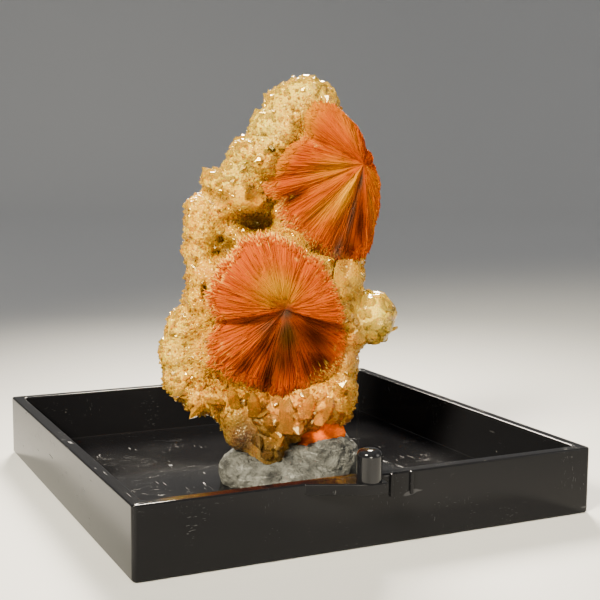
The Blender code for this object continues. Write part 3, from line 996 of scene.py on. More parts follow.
print("rays:", [len(spray["rays"]) for spray in SPRAYS])

# %% [markdown]
# ## The skin of the plate
# The lumps are melted once coarsely, nodules are scattered on that skin, and everything is melted again
# with a fine voxel. Displacement then breaks the smooth skin into sugary grains. Where a spray sits the
# skin is pushed back behind its face, so that no stone pokes through the needles, and round the spray it
# slopes up gently from the rim.

# %% Nodules and fine skin
LUMP_SWELL = 0.12
COARSE_VOXEL = 0.6
SKIN_VOXEL = 0.33
NODULE_TRIES = 5200
NODULE_SPACING = 1.9
NODULE_FLOOR = 6.0
NODULE_SIZE = 0.8
NODULE_FLATNESS = 0.5
NODULE_LEAN = 0.3
NODULE_SUNK = 0.55
NODULE_SIZES = (0.6, 1.15)
NODULE_WIDTHS = (0.8, 1.3)
PLAIN_NODULES = 0.3
BARE_LIMIT = 0.5
BARE_SPOTS = (
    # across, up, half across, half up, strength: smooth places without crystals
    (-4.2, 49.2, 2.6, 1.8, 1.0),
    (-4.0, 10.2, 4.2, 4.8, 1.5),
    (-8.4, 41.2, 1.8, 1.8, 0.9),
    (-3.4, 45.2, 2.4, 1.2, 1.0),
    (-11.8, 37.6, 1.4, 1.4, 1.0),
    (-1.4, 7.0, 3.4, 3.2, 1.2),
    (16.6, 29.2, 4.6, 5.2, 1.4),
    (12.0, 36.0, 2.8, 6.5, 1.2),
    (12.0, 22.6, 2.4, 3.4, 1.0),
    (9.0, 13.8, 4.6, 3.4, 0.8),
)
NODULE_ZONES = (
    # across, up, half across, half up, size of the nodules, flatness
    (16.5, 29.0, 4.5, 4.5, 1.6, 0.45),
    (2.0, 11.5, 10.0, 4.5, 1.6, 0.50),
    (-5.0, 50.0, 3.4, 2.4, 0.6, 0.4),
)

rng = np.random.default_rng(11)
bm = bmesh.new()
add_lumps(bm, CHALCEDONY_LUMPS, LUMP_SWELL, 3)
chalcedony = piece_from(bm, "chalcedony_skin")
melt(chalcedony, COARSE_VOXEL, 4)

bm = bmesh.new()
bmesh.ops.create_icosphere(bm, subdivisions=2, radius=1.0)
knob = prototype(bm)
places, normals = skin_places(chalcedony, NODULE_TRIES, rng, NODULE_SPACING)
nodule_size = np.full(len(places), NODULE_SIZE)
flatness = np.full(len(places), NODULE_FLATNESS)
keep = rng.random(len(places)) < PLAIN_NODULES
for *zone, size, flat in NODULE_ZONES:
    inside = apart(places, *zone) < 1
    nodule_size[inside] = size
    flatness[inside] = flat
    keep |= inside
keep &= (places[:, 2] > NODULE_FLOOR) & (stain(places, BARE_SPOTS) < BARE_LIMIT)
places, normals, nodule_size, flatness = (values[keep] for values in (places, normals, nodule_size, flatness))
nodule_size *= rng.uniform(*NODULE_SIZES, len(places))
width = nodule_size * rng.uniform(*NODULE_WIDTHS, len(places))
sizes = np.stack((width, nodule_size, nodule_size * flatness), axis=1)
sunk = places - normals * nodule_size[:, None] * NODULE_SUNK
nodules = copies(knob, sunk, frames_on(normals, rng, NODULE_LEAN), sizes)
lump_points, _, lump_corners = mesh_arrays(chalcedony)
joined = object_from_arrays("chalcedony_joined", *stack((lump_points, lump_corners), nodules))
chalcedony.data = joined.data
bpy.data.objects.remove(joined)
melt(chalcedony, SKIN_VOXEL, 2)
print("nodules:", len(places), "skin triangles:", triangles(chalcedony))

# %% Grain, dents and pockets
DENTS = (
    # across, up, half across, half up, depth: dark holes and slits, and hollows beside the tongue
    (-9.3, 42.6, 0.45, 0.5, 1.7),
    (-10.0, 40.4, 0.7, 0.28, 1.3),
    (-11.9, 34.2, 0.3, 0.9, 1.8),
    (-0.7, 57.4, 0.8, 0.35, 1.4),
    (2.6, 58.5, 0.8, 0.3, 1.2),
    (-3.6, 45.2, 2.4, 1.3, 2.6),
    (-8.4, 41.2, 1.6, 1.8, 1.6),
    (-7.6, 45.6, 2.0, 1.2, 1.2),
)
OPEN_SPOTS = (
    # across, up, half across, half up, strength: hollows that stay open beside the sprays
    (-3.4, 45.4, 3.4, 2.0, 1.4),
    (-9.0, 41.4, 2.4, 2.2, 1.4),
    (-11.9, 34.2, 0.8, 1.4, 1.2),
    (8.0, 41.6, 3.4, 1.6, 1.0),
)
GRAIN = (
    # name, size and height of the noise
    ("grain_large", 1.5, -0.24),
    ("grain_small", 0.62, -0.16),
)
GRAIN_MIDDLE = 0.3
GRAIN_JITTER = 0.05
CALM_SHARE = 0.6
FRONT_LIMIT = 1
BEHIND_FACE = 6
POCKET_RIM = 0.94
POCKET_DEPTH = 1.0
RIM_STEP = 0.5
RIM_BANK = 1.8
BANK_REACH = 3.0
BANK_FOOT = -0.1
BANK_SLOPE = 0.75

calm_points = mesh_arrays(chalcedony)[0]
for name, size, height in GRAIN:
    push(chalcedony, cloud(name, "VORONOI", size), height, GRAIN_MIDDLE)
settle(chalcedony)
points, normals, corners = mesh_arrays(chalcedony)
calm = np.clip(stain(points, BARE_SPOTS), 0, 1)
points += (calm_points - points) * calm[:, None] * CALM_SHARE
facing = np.clip(-normals[:, 1] * 2, 0, 1) * (points[:, 1] < FRONT_LIMIT)
for dent in DENTS:
    points[:, 1] += stain(points, (dent,)) * facing
closed = 1 - np.clip(stain(points, OPEN_SPOTS), 0, 1)
for spray in SPRAYS:
    angle, out, gap = past_rim(spray, points)
    near = (gap < BANK_REACH) & (points[:, 1] < -spray["centre"][2] + BEHIND_FACE)
    rise = np.where(out < POCKET_RIM, -POCKET_DEPTH, BANK_FOOT + BANK_SLOPE * np.maximum(gap, 0))
    limit = face_point(spray, angle, np.minimum(out, 1.0), 0.0, rise)[:, 1]
    points[:, 1] = np.where(near & (points[:, 1] < limit), limit, points[:, 1])
    rim_level = face_point(spray, angle, np.ones(len(out)), 0.0, -RIM_STEP)[:, 1]
    raised = np.exp(-(gap / RIM_BANK) ** 2) * facing * (out > POCKET_RIM) * closed
    points[:, 1] += np.minimum(rim_level - points[:, 1], 0) * raised
points += normals * rng.normal(0, GRAIN_JITTER, (len(points), 1)) * (1 - calm[:, None])
put_points(chalcedony, points)
chalcedony.data.polygons.foreach_set("use_smooth", np.ones(len(chalcedony.data.polygons), bool))
print("skin reaches up to", round(float(points[:, 2].max()), 2), "mm")

# %% [markdown]
# The pale yellow of thin edges, where light comes through, is painted light here, and the brown of the
# creases is painted shade. Both follow a ridge value measured on the mesh itself: how far each point
# stands out from the middle of its neighbours. The rest of the colouring comes from a few named spots.

# %% Ridges and stains
AMBER_SPOTS = (
    # across, up, half across, half up, strength, as in every table of spots here
    (-4.0, 49.2, 2.6, 1.9, 1.0),
    (-5.0, 46.8, 4.0, 1.4, 0.9),
    (-11.8, 37.6, 1.8, 1.6, 0.7),
    (-11.0, 33.0, 2.2, 4.0, 0.55),
    (-11.6, 26.0, 2.6, 5.0, 0.6),
    (-9.0, 17.5, 4.0, 3.0, 0.45),
    (3.4, 61.6, 3.0, 2.2, 0.55),
    (-1.0, 55.6, 2.4, 2.6, 0.5),
    (12.6, 25.4, 2.2, 1.6, 0.7),
    (12.4, 33.4, 1.6, 2.4, 0.35),
    (11.0, 9.6, 2.4, 2.0, 0.7),
)
# Olive-brown stone, and also painted shade in the holes, slits and hollows beside the sprays.
OLIVE_AND_HOLE_SHADE_SPOTS = (
    (-8.3, 41.4, 2.2, 2.4, 1.0),
    (-3.4, 45.2, 3.0, 1.8, 1.0),
    (-9.4, 42.6, 0.6, 0.6, 1.0),
    (-10.0, 40.4, 0.8, 0.35, 1.0),
    (-11.9, 34.2, 0.5, 1.1, 0.9),
    (-0.7, 57.4, 1.0, 0.5, 0.9),
    (3.0, 58.6, 1.0, 0.4, 0.8),
    (6.6, 66.4, 0.5, 0.6, 0.6),
    (-2.4, 59.9, 0.5, 0.4, 0.5),
    (10.9, 31.6, 1.0, 2.2, 0.5),
    (12.4, 22.4, 1.0, 2.0, 0.5),
)
BLUSH_SPOTS = (
    (-5.2, 9.6, 5.4, 5.8, 1.0),
    (14.4, 28.4, 1.6, 1.6, 0.35),
    (-1.6, 7.4, 4.2, 4.2, 0.9),
    (11.0, 39.0, 2.4, 3.0, 0.6),
    (12.2, 34.0, 1.8, 3.0, 0.4),
    (12.0, 22.0, 1.8, 3.4, 0.4),
)
ROSE_SPOTS = (
    (5.0, 12.6, 9.5, 5.0, 1.0),
    (-13.0, 14.0, 7.0, 5.0, 0.35),
    (12.0, 24.0, 2.6, 5.0, 0.5),
)
# Paler, clearer stone, and also painted light on the top, the upper left and the outer lumps, where the light
# falls.
CLEAR_AND_LIT_SPOTS = (
    (5.0, 66.5, 6.5, 5.0, 1.0),
    (-1.6, 61.5, 4.5, 5.0, 0.9),
    (-6.4, 55.0, 3.6, 4.0, 0.7),
    (-17.0, 24.0, 3.6, 7.0, 0.4),
    (16.8, 30.0, 4.2, 5.0, 1.0),
)
RIDGE_SPREAD = 4
RIDGE_ENDS = (3, 97)
GLOW_REACH = 2.8
GLOW_BEHIND = 2


def ridge_of(target, spread):
    """How far each point stands out from its neighbours, from zero in a crease to one on an edge."""
    points, normals, _ = mesh_arrays(target)
    ends = rows_of(target.data.edges, "vertices", 2, np.int32)
    count = np.maximum(np.bincount(ends.ravel(), minlength=len(points)), 1)

    def around(values):
        """The mean of each point's neighbours."""
        total = np.zeros_like(values)
        np.add.at(total, ends[:, 0], values[ends[:, 1]])
        np.add.at(total, ends[:, 1], values[ends[:, 0]])
        return total / (count[:, None] if values.ndim > 1 else count)

    middle = points
    for _ in range(spread):
        middle = around(middle)
    stands = ((points - middle) * normals).sum(axis=1)
    stands = (stands + around(stands)) / 2
    low, high = np.percentile(stands, RIDGE_ENDS)
    return np.clip((stands - low) / (high - low), 0, 1)


def near_sprays(points):
    """A glow that fades away from the sprays' rims into the stone."""
    glow = np.zeros(len(points))
    for spray in (UPPER_SPRAY, LOWER_SPRAY):
        gap = past_rim(spray, points)[2]
        glow = np.maximum(glow, np.exp(-np.maximum(gap, 0) / GLOW_REACH))
    return glow * (points[:, 1] < GLOW_BEHIND)


def give_spokes(target, angle, out):
    """Write the direction and distance from a spray's centre onto a mesh, for textures that run along it."""
    spoke = np.stack((np.cos(np.radians(angle)), np.sin(np.radians(angle)), out), axis=-1).astype(np.float32)
    layer = target.data.attributes.new("spoke", "FLOAT_VECTOR", "POINT")
    layer.data.foreach_set("vector", spoke.ravel())


def give_stains(target):
    """Write the stone's colouring onto a mesh, for its material to read."""
    points = mesh_arrays(target)[0]
    upper, lower = (polar_of(spray, points) for spray in (UPPER_SPRAY, LOWER_SPRAY))
    nearer = upper[1] < lower[1]
    give_spokes(target, np.where(nearer, upper[0], lower[0]), np.where(nearer, upper[1], lower[1]))
    give_float(target.data, "amber", stain(points, AMBER_SPOTS))
    give_float(target.data, "glow", near_sprays(points))
    give_float(target.data, "olive", stain(points, OLIVE_AND_HOLE_SHADE_SPOTS) * (points[:, 1] < FRONT_LIMIT))
    give_float(target.data, "blush", stain(points, BLUSH_SPOTS))
    give_float(target.data, "rose", stain(points, ROSE_SPOTS))
    give_float(target.data, "clear", stain(points, CLEAR_AND_LIT_SPOTS))


give_float(chalcedony.data, "ridge", ridge_of(chalcedony, RIDGE_SPREAD))
give_float(chalcedony.data, "calm", calm)
give_stains(chalcedony)
print("stains are on the skin")

# %% [markdown]
# ## Crystals on the skin
# Five small closed shapes cover the skin: a low five-sided point for the sugary parts, a six-sided prism
# with a pyramid for the clearer crystals, a flat tooth for the jagged outline, a flat scale for the
# shingled crust below, and a thin plate for the layered lump on the right. Copies lean at random, because
# the sparkle comes from faces that look in many directions. They also lean away from the nearer spray,
# as the stone grew over needles that radiate from there.

# %% Crystal shapes
BLADE_FLATNESS = 0.4
PRISM_POINT = 0.36
SCALE_CROWN = 0.04
SCALE_BEVEL = 0.25
LOOKS_UP = 0.9


def upper_faces(bm):
    """The faces that look up."""
    return [face for face in bm.faces if face.normal.z > LOOKS_UP]


def low_point():
    """A low five-sided point."""
    bm = bmesh.new()
    bmesh.ops.create_cone(bm, cap_ends=True, segments=5, radius1=0.5, radius2=0.0, depth=0.6)
    return prototype(bm)


def prism_point():
    """A six-sided prism that ends in a pyramid."""
    bm = bmesh.new()
    bmesh.ops.create_cone(bm, cap_ends=True, segments=6, radius1=0.42, radius2=0.38, depth=0.6)
    bmesh.ops.poke(bm, faces=upper_faces(bm), offset=PRISM_POINT)
    return prototype(bm)


def flat_scale(sides, thickness):
    """A flat scale with a bevelled rim and a slightly raised middle."""
    bm = bmesh.new()
    bmesh.ops.create_cone(bm, cap_ends=True, segments=sides, radius1=0.5, radius2=0.43, depth=thickness)
    rim = [edge for edge in bm.edges if edge.calc_face_angle(0) > radians(60)]
    bmesh.ops.bevel(bm, geom=rim, offset=thickness * SCALE_BEVEL, segments=1, profile=0.5, affect="EDGES",
                    material=-1)
    bmesh.ops.poke(bm, faces=upper_faces(bm), offset=SCALE_CROWN)
    return prototype(bm)


def blade():
    """A flat tooth that stands on its wide foot."""
    bm = bmesh.new()
    bmesh.ops.create_cone(bm, cap_ends=True, segments=6, radius1=0.5, radius2=0.07, depth=1.0,
                          matrix=Matrix.Diagonal((1.0, BLADE_FLATNESS, 1.0, 1.0)))
    return prototype(bm)


SHAPES = {"point": low_point(), "prism": prism_point(), "blade": blade(), "scale": flat_scale(8, 0.26),
          "plate": flat_scale(6, 0.12)}
for name, (points, corners) in SHAPES.items():
    print(name, "has", len(corners), "triangles")

# %% Growing the crystals
LAYERS = (
    # shape, across, up, half across, half up, spacing, smallest, largest, lean, sunk, outward, edge only
    ("point", 0.0, 38.0, 60.0, 60.0, 0.66, 0.50, 0.90, 0.30, 0.10, 0.6, False),
    ("prism", 0.0, 38.0, 60.0, 60.0, 1.60, 0.60, 1.10, 0.40, 0.20, 0.6, False),
    ("prism", -2.0, 60.0, 13.0, 14.0, 1.10, 1.10, 2.00, 0.30, 0.30, 0.8, True),
    ("prism", -16.0, 32.0, 7.0, 20.0, 1.20, 0.90, 1.50, 0.35, 0.25, 0.8, True),
    ("blade", -12.0, 15.0, 8.5, 5.5, 1.25, 1.50, 2.60, 0.45, 0.20, 0.5, False),
    ("blade", 3.5, 13.0, 10.0, 5.0, 1.50, 1.30, 2.40, 0.50, 0.20, 0.4, False),
    ("prism", 2.5, 12.0, 11.0, 6.0, 1.60, 1.10, 1.90, 0.50, 0.25, 0.3, False),
    ("scale", 5.0, 11.0, 8.5, 6.0, 1.70, 1.60, 3.00, 0.50, 0.06, 0.0, False),
    ("scale", 4.5, 9.6, 8.0, 2.6, 1.40, 2.00, 3.40, 0.30, 0.04, 0.0, False),
    ("scale", 12.0, 34.0, 3.5, 7.0, 1.90, 1.20, 2.20, 0.35, 0.10, 0.0, False),
    ("scale", 16.8, 29.0, 3.8, 5.0, 1.70, 1.80, 3.00, 0.25, 0.05, 0.0, False),
    ("plate", 16.8, 30.0, 3.4, 4.0, 2.20, 2.20, 3.60, 0.12, 0.30, 0.0, False),
)
FLAT_KINDS = ("scale", "plate")
PLACES_TRIED = 9000
BARE_RANGE = (0.2, 0.7)
SIZE_RANGE = (0.75, 1.25)
EDGE_ON = 0.6
LUMP_PLATES_FACE = np.array((0.62, -0.30, 0.72))
CRYSTALS_START = 6.5
SPRAY_MARGIN = 0.2
CRYSTALS_BEHIND = 6.5


def clear_of_sprays(places):
    """Which places aren't on, or in front of, a spray's face."""
    clear = np.ones(len(places), bool)
    for spray in SPRAYS:
        gap = past_rim(spray, places)[2]
        clear &= (gap > SPRAY_MARGIN) | (places[:, 1] > -spray["centre"][2] + CRYSTALS_BEHIND)
    return clear


def away_from_sprays(places):
    """Directions in the plane of the plate that lead away from the nearer spray's centre."""
    ways = [places - np.array((s["centre"][0], 0.0, s["centre"][1])) for s in (UPPER_SPRAY, LOWER_SPRAY)]
    far = [np.hypot(way[:, 0], way[:, 2]) for way in ways]
    nearer = np.where((far[0] < far[1])[:, None], ways[0], ways[1])
    return unit(nearer * (1.0, 0.0, 1.0))


def crystal_piece(name, crystals, tips, tones):
    """One piece of joined crystals, with their pale tips, their tones and the stone's stains."""
    made = object_from_arrays(name, *crystals)
    give_float(made.data, "tip", tips)
    give_float(made.data, "tone", tones)
    give_stains(made)
    print(name, triangles(made), "triangles")
    return made


def grow(name, layers, seed):
    """Scatter layers of crystals over the skin and join them into one piece."""
    rng = np.random.default_rng(seed)
    parts, tips, tones = [], [], []
    for kind, *row in layers:
        zone, (spacing, smallest, largest, lean, sunk, outward, edge) = row[:4], row[4:]
        flat = kind in FLAT_KINDS
        places, normals = skin_places(chalcedony, int(PLACES_TRIED / spacing ** 2), rng, spacing)
        bare = (stain(places, BARE_SPOTS) > rng.uniform(*BARE_RANGE, len(places))) & (not flat)
        keep = (apart(places, *zone) < 1) & ~bare & (places[:, 2] > CRYSTALS_START) & clear_of_sprays(places)
        if edge:
            keep &= np.abs(normals[:, 1]) < EDGE_ON
        places, normals = places[keep], normals[keep]
        size = rng.uniform(smallest, largest, (len(places), 1))
        faces = unit(normals + outward * away_from_sprays(places))
        if kind == "plate":
            faces = LUMP_PLATES_FACE + 0 * normals
        shape = SHAPES[kind]
        parts.append(copies(shape, places - normals * size * sunk, frames_on(faces, rng, lean),
                            size * rng.uniform(*SIZE_RANGE, (len(places), 3))))
        out = np.hypot(shape[0][:, 0], shape[0][:, 1]) if flat else shape[0][:, 2]
        tips.append(np.tile(zero_to_one(out), len(places)))
        tones.append(np.repeat(rng.random(len(places)), len(shape[0])))
        print(name, kind, len(places))
    return crystal_piece(name, stack(*parts), np.concatenate(tips), np.concatenate(tones))


sugar = grow("chalcedony_sugar", LAYERS[:1], 21)
points_and_scales = grow("chalcedony_points", LAYERS[1:], 22)

# %% [markdown]
# Below the lower spray the stone ends in a few much larger points that stand up in front of the rim.
# They are placed one by one from a table, since each of them is a shape of its own in the photograph.

# %% Large points
LARGE_POINTS = (
    # across, up, near, width, length, and the way it points: across, up, near
    (2.0, 13.0, 10.5, 3.8, 6.4, 0.05, 1.0, 0.15),
    (-3.4, 15.0, 10.1, 3.0, 4.8, 0.12, 1.0, 0.20),
    (5.6, 14.8, 9.9, 2.8, 4.4, 0.15, 1.0, 0.25),
    (-6.8, 16.2, 9.5, 2.6, 4.0, -0.30, 0.9, 0.30),
    (8.8, 14.4, 9.3, 3.0, 4.2, 0.30, 0.8, 0.30),
    (-0.8, 12.2, 10.9, 2.6, 4.0, -0.25, 0.7, 0.50),
    (3.8, 12.0, 10.6, 2.8, 3.6, 0.10, -0.3, 0.80),
    (7.4, 13.0, 9.8, 2.8, 3.6, 0.20, -0.2, 0.80),
    (0.8, 9.2, 11.3, 2.4, 3.2, -0.10, -0.4, 0.80),
    (10.8, 17.6, 8.3, 2.4, 3.8, 0.55, 0.6, 0.30),
    (-9.8, 15.6, 9.1, 2.4, 3.6, -0.50, 0.2, 0.50),
    (-12.8, 14.4, 8.3, 2.4, 3.6, -0.60, -0.4, 0.30),
    (-15.6, 17.0, 7.1, 2.2, 3.4, -0.80, -0.2, 0.30),
    (-2.6, 9.6, 11.5, 1.9, 2.6, 0.30, -0.5, 0.80),
)
LARGE_FLATNESS = 0.8
LARGE_LEAN = 0.08


def large_points(name, rows, seed):
    """Single large crystals from a table, as one piece."""
    rng = np.random.default_rng(seed)
    rows = np.array(rows)
    places = np.stack((rows[:, 0], -rows[:, 2], rows[:, 1]), axis=1)
    ways = np.stack((rows[:, 5], -rows[:, 7], rows[:, 6]), axis=1)
    sizes = np.stack((rows[:, 3], rows[:, 3] * LARGE_FLATNESS, rows[:, 4]), axis=1)
    shape = SHAPES["prism"]
    height = shape[0][:, 2]
    crystals = copies(shape, places, frames_on(ways, rng, LARGE_LEAN), sizes)
    return crystal_piece(name, crystals, np.tile(zero_to_one(height), len(rows)),
                         np.repeat(rng.random(len(rows)), len(height)))


large = large_points("chalcedony_large_points", LARGE_POINTS, 23)

# %% [markdown]
# Chalcedony is cloudy and translucent, so the crust's finish scatters light below the surface. The
# crystals are clear: most of their light passes through and bends, and their gloss is harder. Both read
# the same stains, and the crystals also fade to a pale tip.

# %% Chalcedony finishes
STONE_PALE = (0.90, 0.50, 0.014)
STONE_TAN = (0.78, 0.36, 0.006)
# The edge colour is the pale of fibres and crystal tips, and also painted light on ridges; the crease colour
# is the brown of fibres, and also painted shade in creases.
STONE_PALE_AND_EDGE_LIGHT = (1.0, 0.70, 0.07)
STONE_BROWN_AND_CREASE_SHADE = (0.44, 0.215, 0.012)
STONE_AMBER = (0.56, 0.20, 0.0003)
STONE_GLOW = (0.68, 0.28, 0.0004)
# Dark olive: the stone's specks and its olive-brown, and also painted shade in holes and hollows.
STONE_OLIVE_AND_HOLE_SHADE = (0.085, 0.036, 0.002)
STONE_BLUSH = (0.050, 0.026, 0.022)
STONE_ROSE = (1.0, 0.38, 0.06)
STONE_CLEAR_AND_LIT = (1.0, 0.80, 0.13)
STONE_GLOSS = (1.0, 0.80, 0.38)
SKIN_DEPTH = 0.64
STONE_STAINS = (
    # attribute, colour, and how much of it shows at full strength
    # clear: partly paler stone, partly painted light
    ("clear", STONE_CLEAR_AND_LIT, 0.8),
    ("glow", STONE_GLOW, 0.8),
    ("amber", STONE_AMBER, 0.7),
    ("rose", STONE_ROSE, 0.85),
    ("blush", STONE_BLUSH, 0.95),
    # olive: partly the stone's olive-brown, partly painted shade in holes and hollows
    ("olive", STONE_OLIVE_AND_HOLE_SHADE, 0.85),
)


def stained(finish, colour, stains):
    """Named stains over a colour, each with its own colour and share."""
    for kind, stain_colour, share in stains:
        colour = finish.mix(finish.math("MULTIPLY", finish.attribute(kind), share), colour, stain_colour)
    return colour


def stone_colour(finish):
    """The stone's mottled colour with pale and brown fibres that run away from the sprays."""
    colour = finish.ramp(finish.noise(420, 3.0, 0.5), (0.36, STONE_TAN), (0.62, STONE_PALE))
    fibres = finish.noise(1.0, 3.0, 0.6, finish.spokes((34, 34, 5)))
    colour = finish.mix(finish.ramp(fibres, (0.50, 0.0), (0.68, 0.7)), colour, STONE_PALE_AND_EDGE_LIGHT)
    return finish.mix(finish.ramp(fibres, (0.32, 0.75), (0.48, 0.0)), colour, STONE_BROWN_AND_CREASE_SHADE)


def chalcedony_skin_finish():
    """The cloudy crust: painted light on its ridges, painted shade in its creases, with specks and fine
    grains.
    """
    finish = Finish("pale_chalcedony").set(IOR=1.54, Specular_IOR_Level=0.35, Specular_Tint=STONE_GLOSS,
                                           Subsurface_Weight=0.8, Subsurface_Scale=0.0010,
                                           Subsurface_Radius=(1.0, 0.55, 0.22))
    ridge = finish.attribute("ridge")
    # Painted shade: brown in the creases. Painted light: pale on the ridges.
    colour = finish.mix(finish.ramp(ridge, (0.10, 0.9), (0.48, 0.0)), stone_colour(finish), STONE_BROWN_AND_CREASE_SHADE)
    colour = finish.mix(finish.ramp(ridge, (0.72, 0.0), (1.0, 0.5)), colour, STONE_PALE_AND_EDGE_LIGHT)
    colour = finish.mix(1.0, stained(finish, colour, STONE_STAINS), (SKIN_DEPTH,) * 3, "MULTIPLY")
    specks = finish.ramp(finish.cells(520), (0.10, 1.0), (0.16, 0.0))
    where = finish.ramp(finish.noise(340, 3.0), (0.60, 0.0), (0.66, 0.9))
    colour = finish.mix(finish.math("MULTIPLY", specks, where), colour, STONE_OLIVE_AND_HOLE_SHADE)
    grains = finish.ramp(finish.cells(2300), (0.0, 1.0), (0.75, 0.0))
    grains = finish.math("MULTIPLY", grains, finish.ramp(finish.attribute("calm"), (0.2, 1.0), (0.9, 0.6)))
    normal = finish.bump(grains, 0.00022, 0.9)
    rough = finish.ramp(finish.noise(1500, 2.0), (0.35, 0.12), (0.65, 0.34))
    return finish.set(Base_Color=colour, Roughness=rough, Normal=normal).material


def crystal_finish():
    """The clear crystals, each with its own tone."""
    finish = Finish("chalcedony_crystals").set(IOR=1.54, Specular_IOR_Level=0.6, Specular_Tint=STONE_GLOSS,
                                               Transmission_Weight=0.75)
    tip = finish.ramp(finish.attribute("tip"), (0.55, 0.0), (1.0, 0.6))
    colour = stained(finish, finish.mix(tip, stone_colour(finish), STONE_PALE_AND_EDGE_LIGHT), STONE_STAINS)
    tone = finish.ramp(finish.attribute("tone"), (0.0, 0.7), (1.0, 1.0))
    colour = finish.mix(1.0, colour, tone, "MULTIPLY")
    rough = finish.ramp(finish.attribute("tone"), (0.0, 0.28), (0.6, 0.08))
    return finish.set(Base_Color=colour, Roughness=rough).material


chalcedony.data.materials.append(chalcedony_skin_finish())
crystals = crystal_finish()
for crust in (sugar, points_and_scales, large):
    crust.data.materials.append(crystals)
for stone in (chalcedony, sugar, points_and_scales, large):
    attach(stone, "root")
    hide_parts("chalcedony_matrix")
print("chalcedony finishes are on")

# %% [markdown]
# ## Needles
# A spray's face is a closed tube remapped: a point's ring tells how far out it is, and its angle picks
# the ray. The relief has several levels. Coarse bundles come first, and each finer level starts further
# out, as real needles split on their way. Every bundle and needle has its own height, length and tone,
# read from seeded tables.

# %% Relief of needles
NEEDLE_LEVELS = (
    # how many round the spray, height, tone, where it starts; the tone is random, with painted light on the
    # crowns and painted shade in the gaps
    (46, 0.08, 0.04, 0.08),
    (104, 0.09, 0.10, 0.16),
    (196, 0.10, 0.22, 0.26),
    (320, 0.08, 0.30, 0.42),
)
LEVEL_FADE = 0.16
WANDER = 0.5
WANDER_PACE = (3, 6)
WANDER_TURNS = (2, 6)
CROWN_SHARE = 0.7
CROWN_MIDDLE = 0.6
LEDGE_COUNT = 66
LEDGE_DROP = 0.24
LEDGE_WIDTH = 0.02
LEDGE_BEND = 0.3
LEDGE_WAVES = 9
LEDGE_NEAREST = 0.45
LEDGE_RANGE = 0.75
LEDGE_FARTHEST = 0.97
LEDGE_PALE = 0.5
TOOTH_COUNTS = ((60, 0.45), (176, 0.70), (320, 0.50))
TOOTH_START = 0.84
TOOTH_BASE = 0.4
TIP_PALE = 0.8
TIP_START = 0.93
TIP_END = 1.02
FULL_REACH = 11.0


def smooth_step(low, high, values):
    """A soft switch from zero to one."""
    share = np.clip((values - low) / (high - low), 0, 1)
    return share * share * (3 - 2 * share)


def needle_relief(spray, angle, out, seed):
    """Height, tone, tip and added reach of the bundles and needles at places on a face."""
    rng = np.random.default_rng(seed)
    share = np.minimum(1.0, along_rays(spray, angle, 1) / FULL_REACH) * spray["relief"]
    height, tone, tip, longer = (np.zeros(len(angle)) for _ in range(4))
    for count, lift, tint, start in NEEDLE_LEVELS:
        table = rng.random((count, 2))
        phase = out * rng.uniform(*WANDER_PACE) + np.radians(angle) * rng.integers(*WANDER_TURNS)
        wander = WANDER * np.sin(phase)
        place = angle / 360 * count + rng.random() + wander * out
        index = np.floor(place).astype(int) % count
        part = place % 1
        crown = 4 * part * (1 - part)
        grown = smooth_step(start, start + LEVEL_FADE, out)
        rounded = CROWN_SHARE * (crown - CROWN_MIDDLE)
        height += grown * lift * (table[index, 0] - 0.5 + rounded)
        # Tone: random for each bundle, plus painted light on its crown and painted shade in the gaps.
        tone += grown * tint * (table[index, 1] - 0.5 + rounded)
    table = rng.random((LEDGE_COUNT, 3))
    place = angle / 360 * LEDGE_COUNT + LEDGE_BEND * np.sin(out * LEDGE_WAVES)
    index = np.floor(place).astype(int) % LEDGE_COUNT
    end = LEDGE_NEAREST + LEDGE_RANGE * table[index, 0]
    height -= LEDGE_DROP * table[index, 1] * smooth_step(end, end + LEDGE_WIDTH, out)
    edge = np.exp(-((out - end + LEDGE_WIDTH / 2) / LEDGE_WIDTH) ** 2)
    tip += LEDGE_PALE * edge * (end < LEDGE_FARTHEST)
    for count, length in TOOTH_COUNTS:
        table = rng.random(count)
        place = angle / 360 * count
        point = 1 - np.abs(2 * (place % 1) - 1)
        tooth = table[np.floor(place).astype(int) % count] - 0.5
        longer += length * tooth * (TOOTH_BASE + (1 - TOOTH_BASE) * point)
    longer *= smooth_step(TOOTH_START, 1.0, out)
    tip += smooth_step(TIP_START, TIP_END, out) * TIP_PALE
    return height * share, tone * np.sqrt(share), np.clip(tip, 0, 1), longer * share
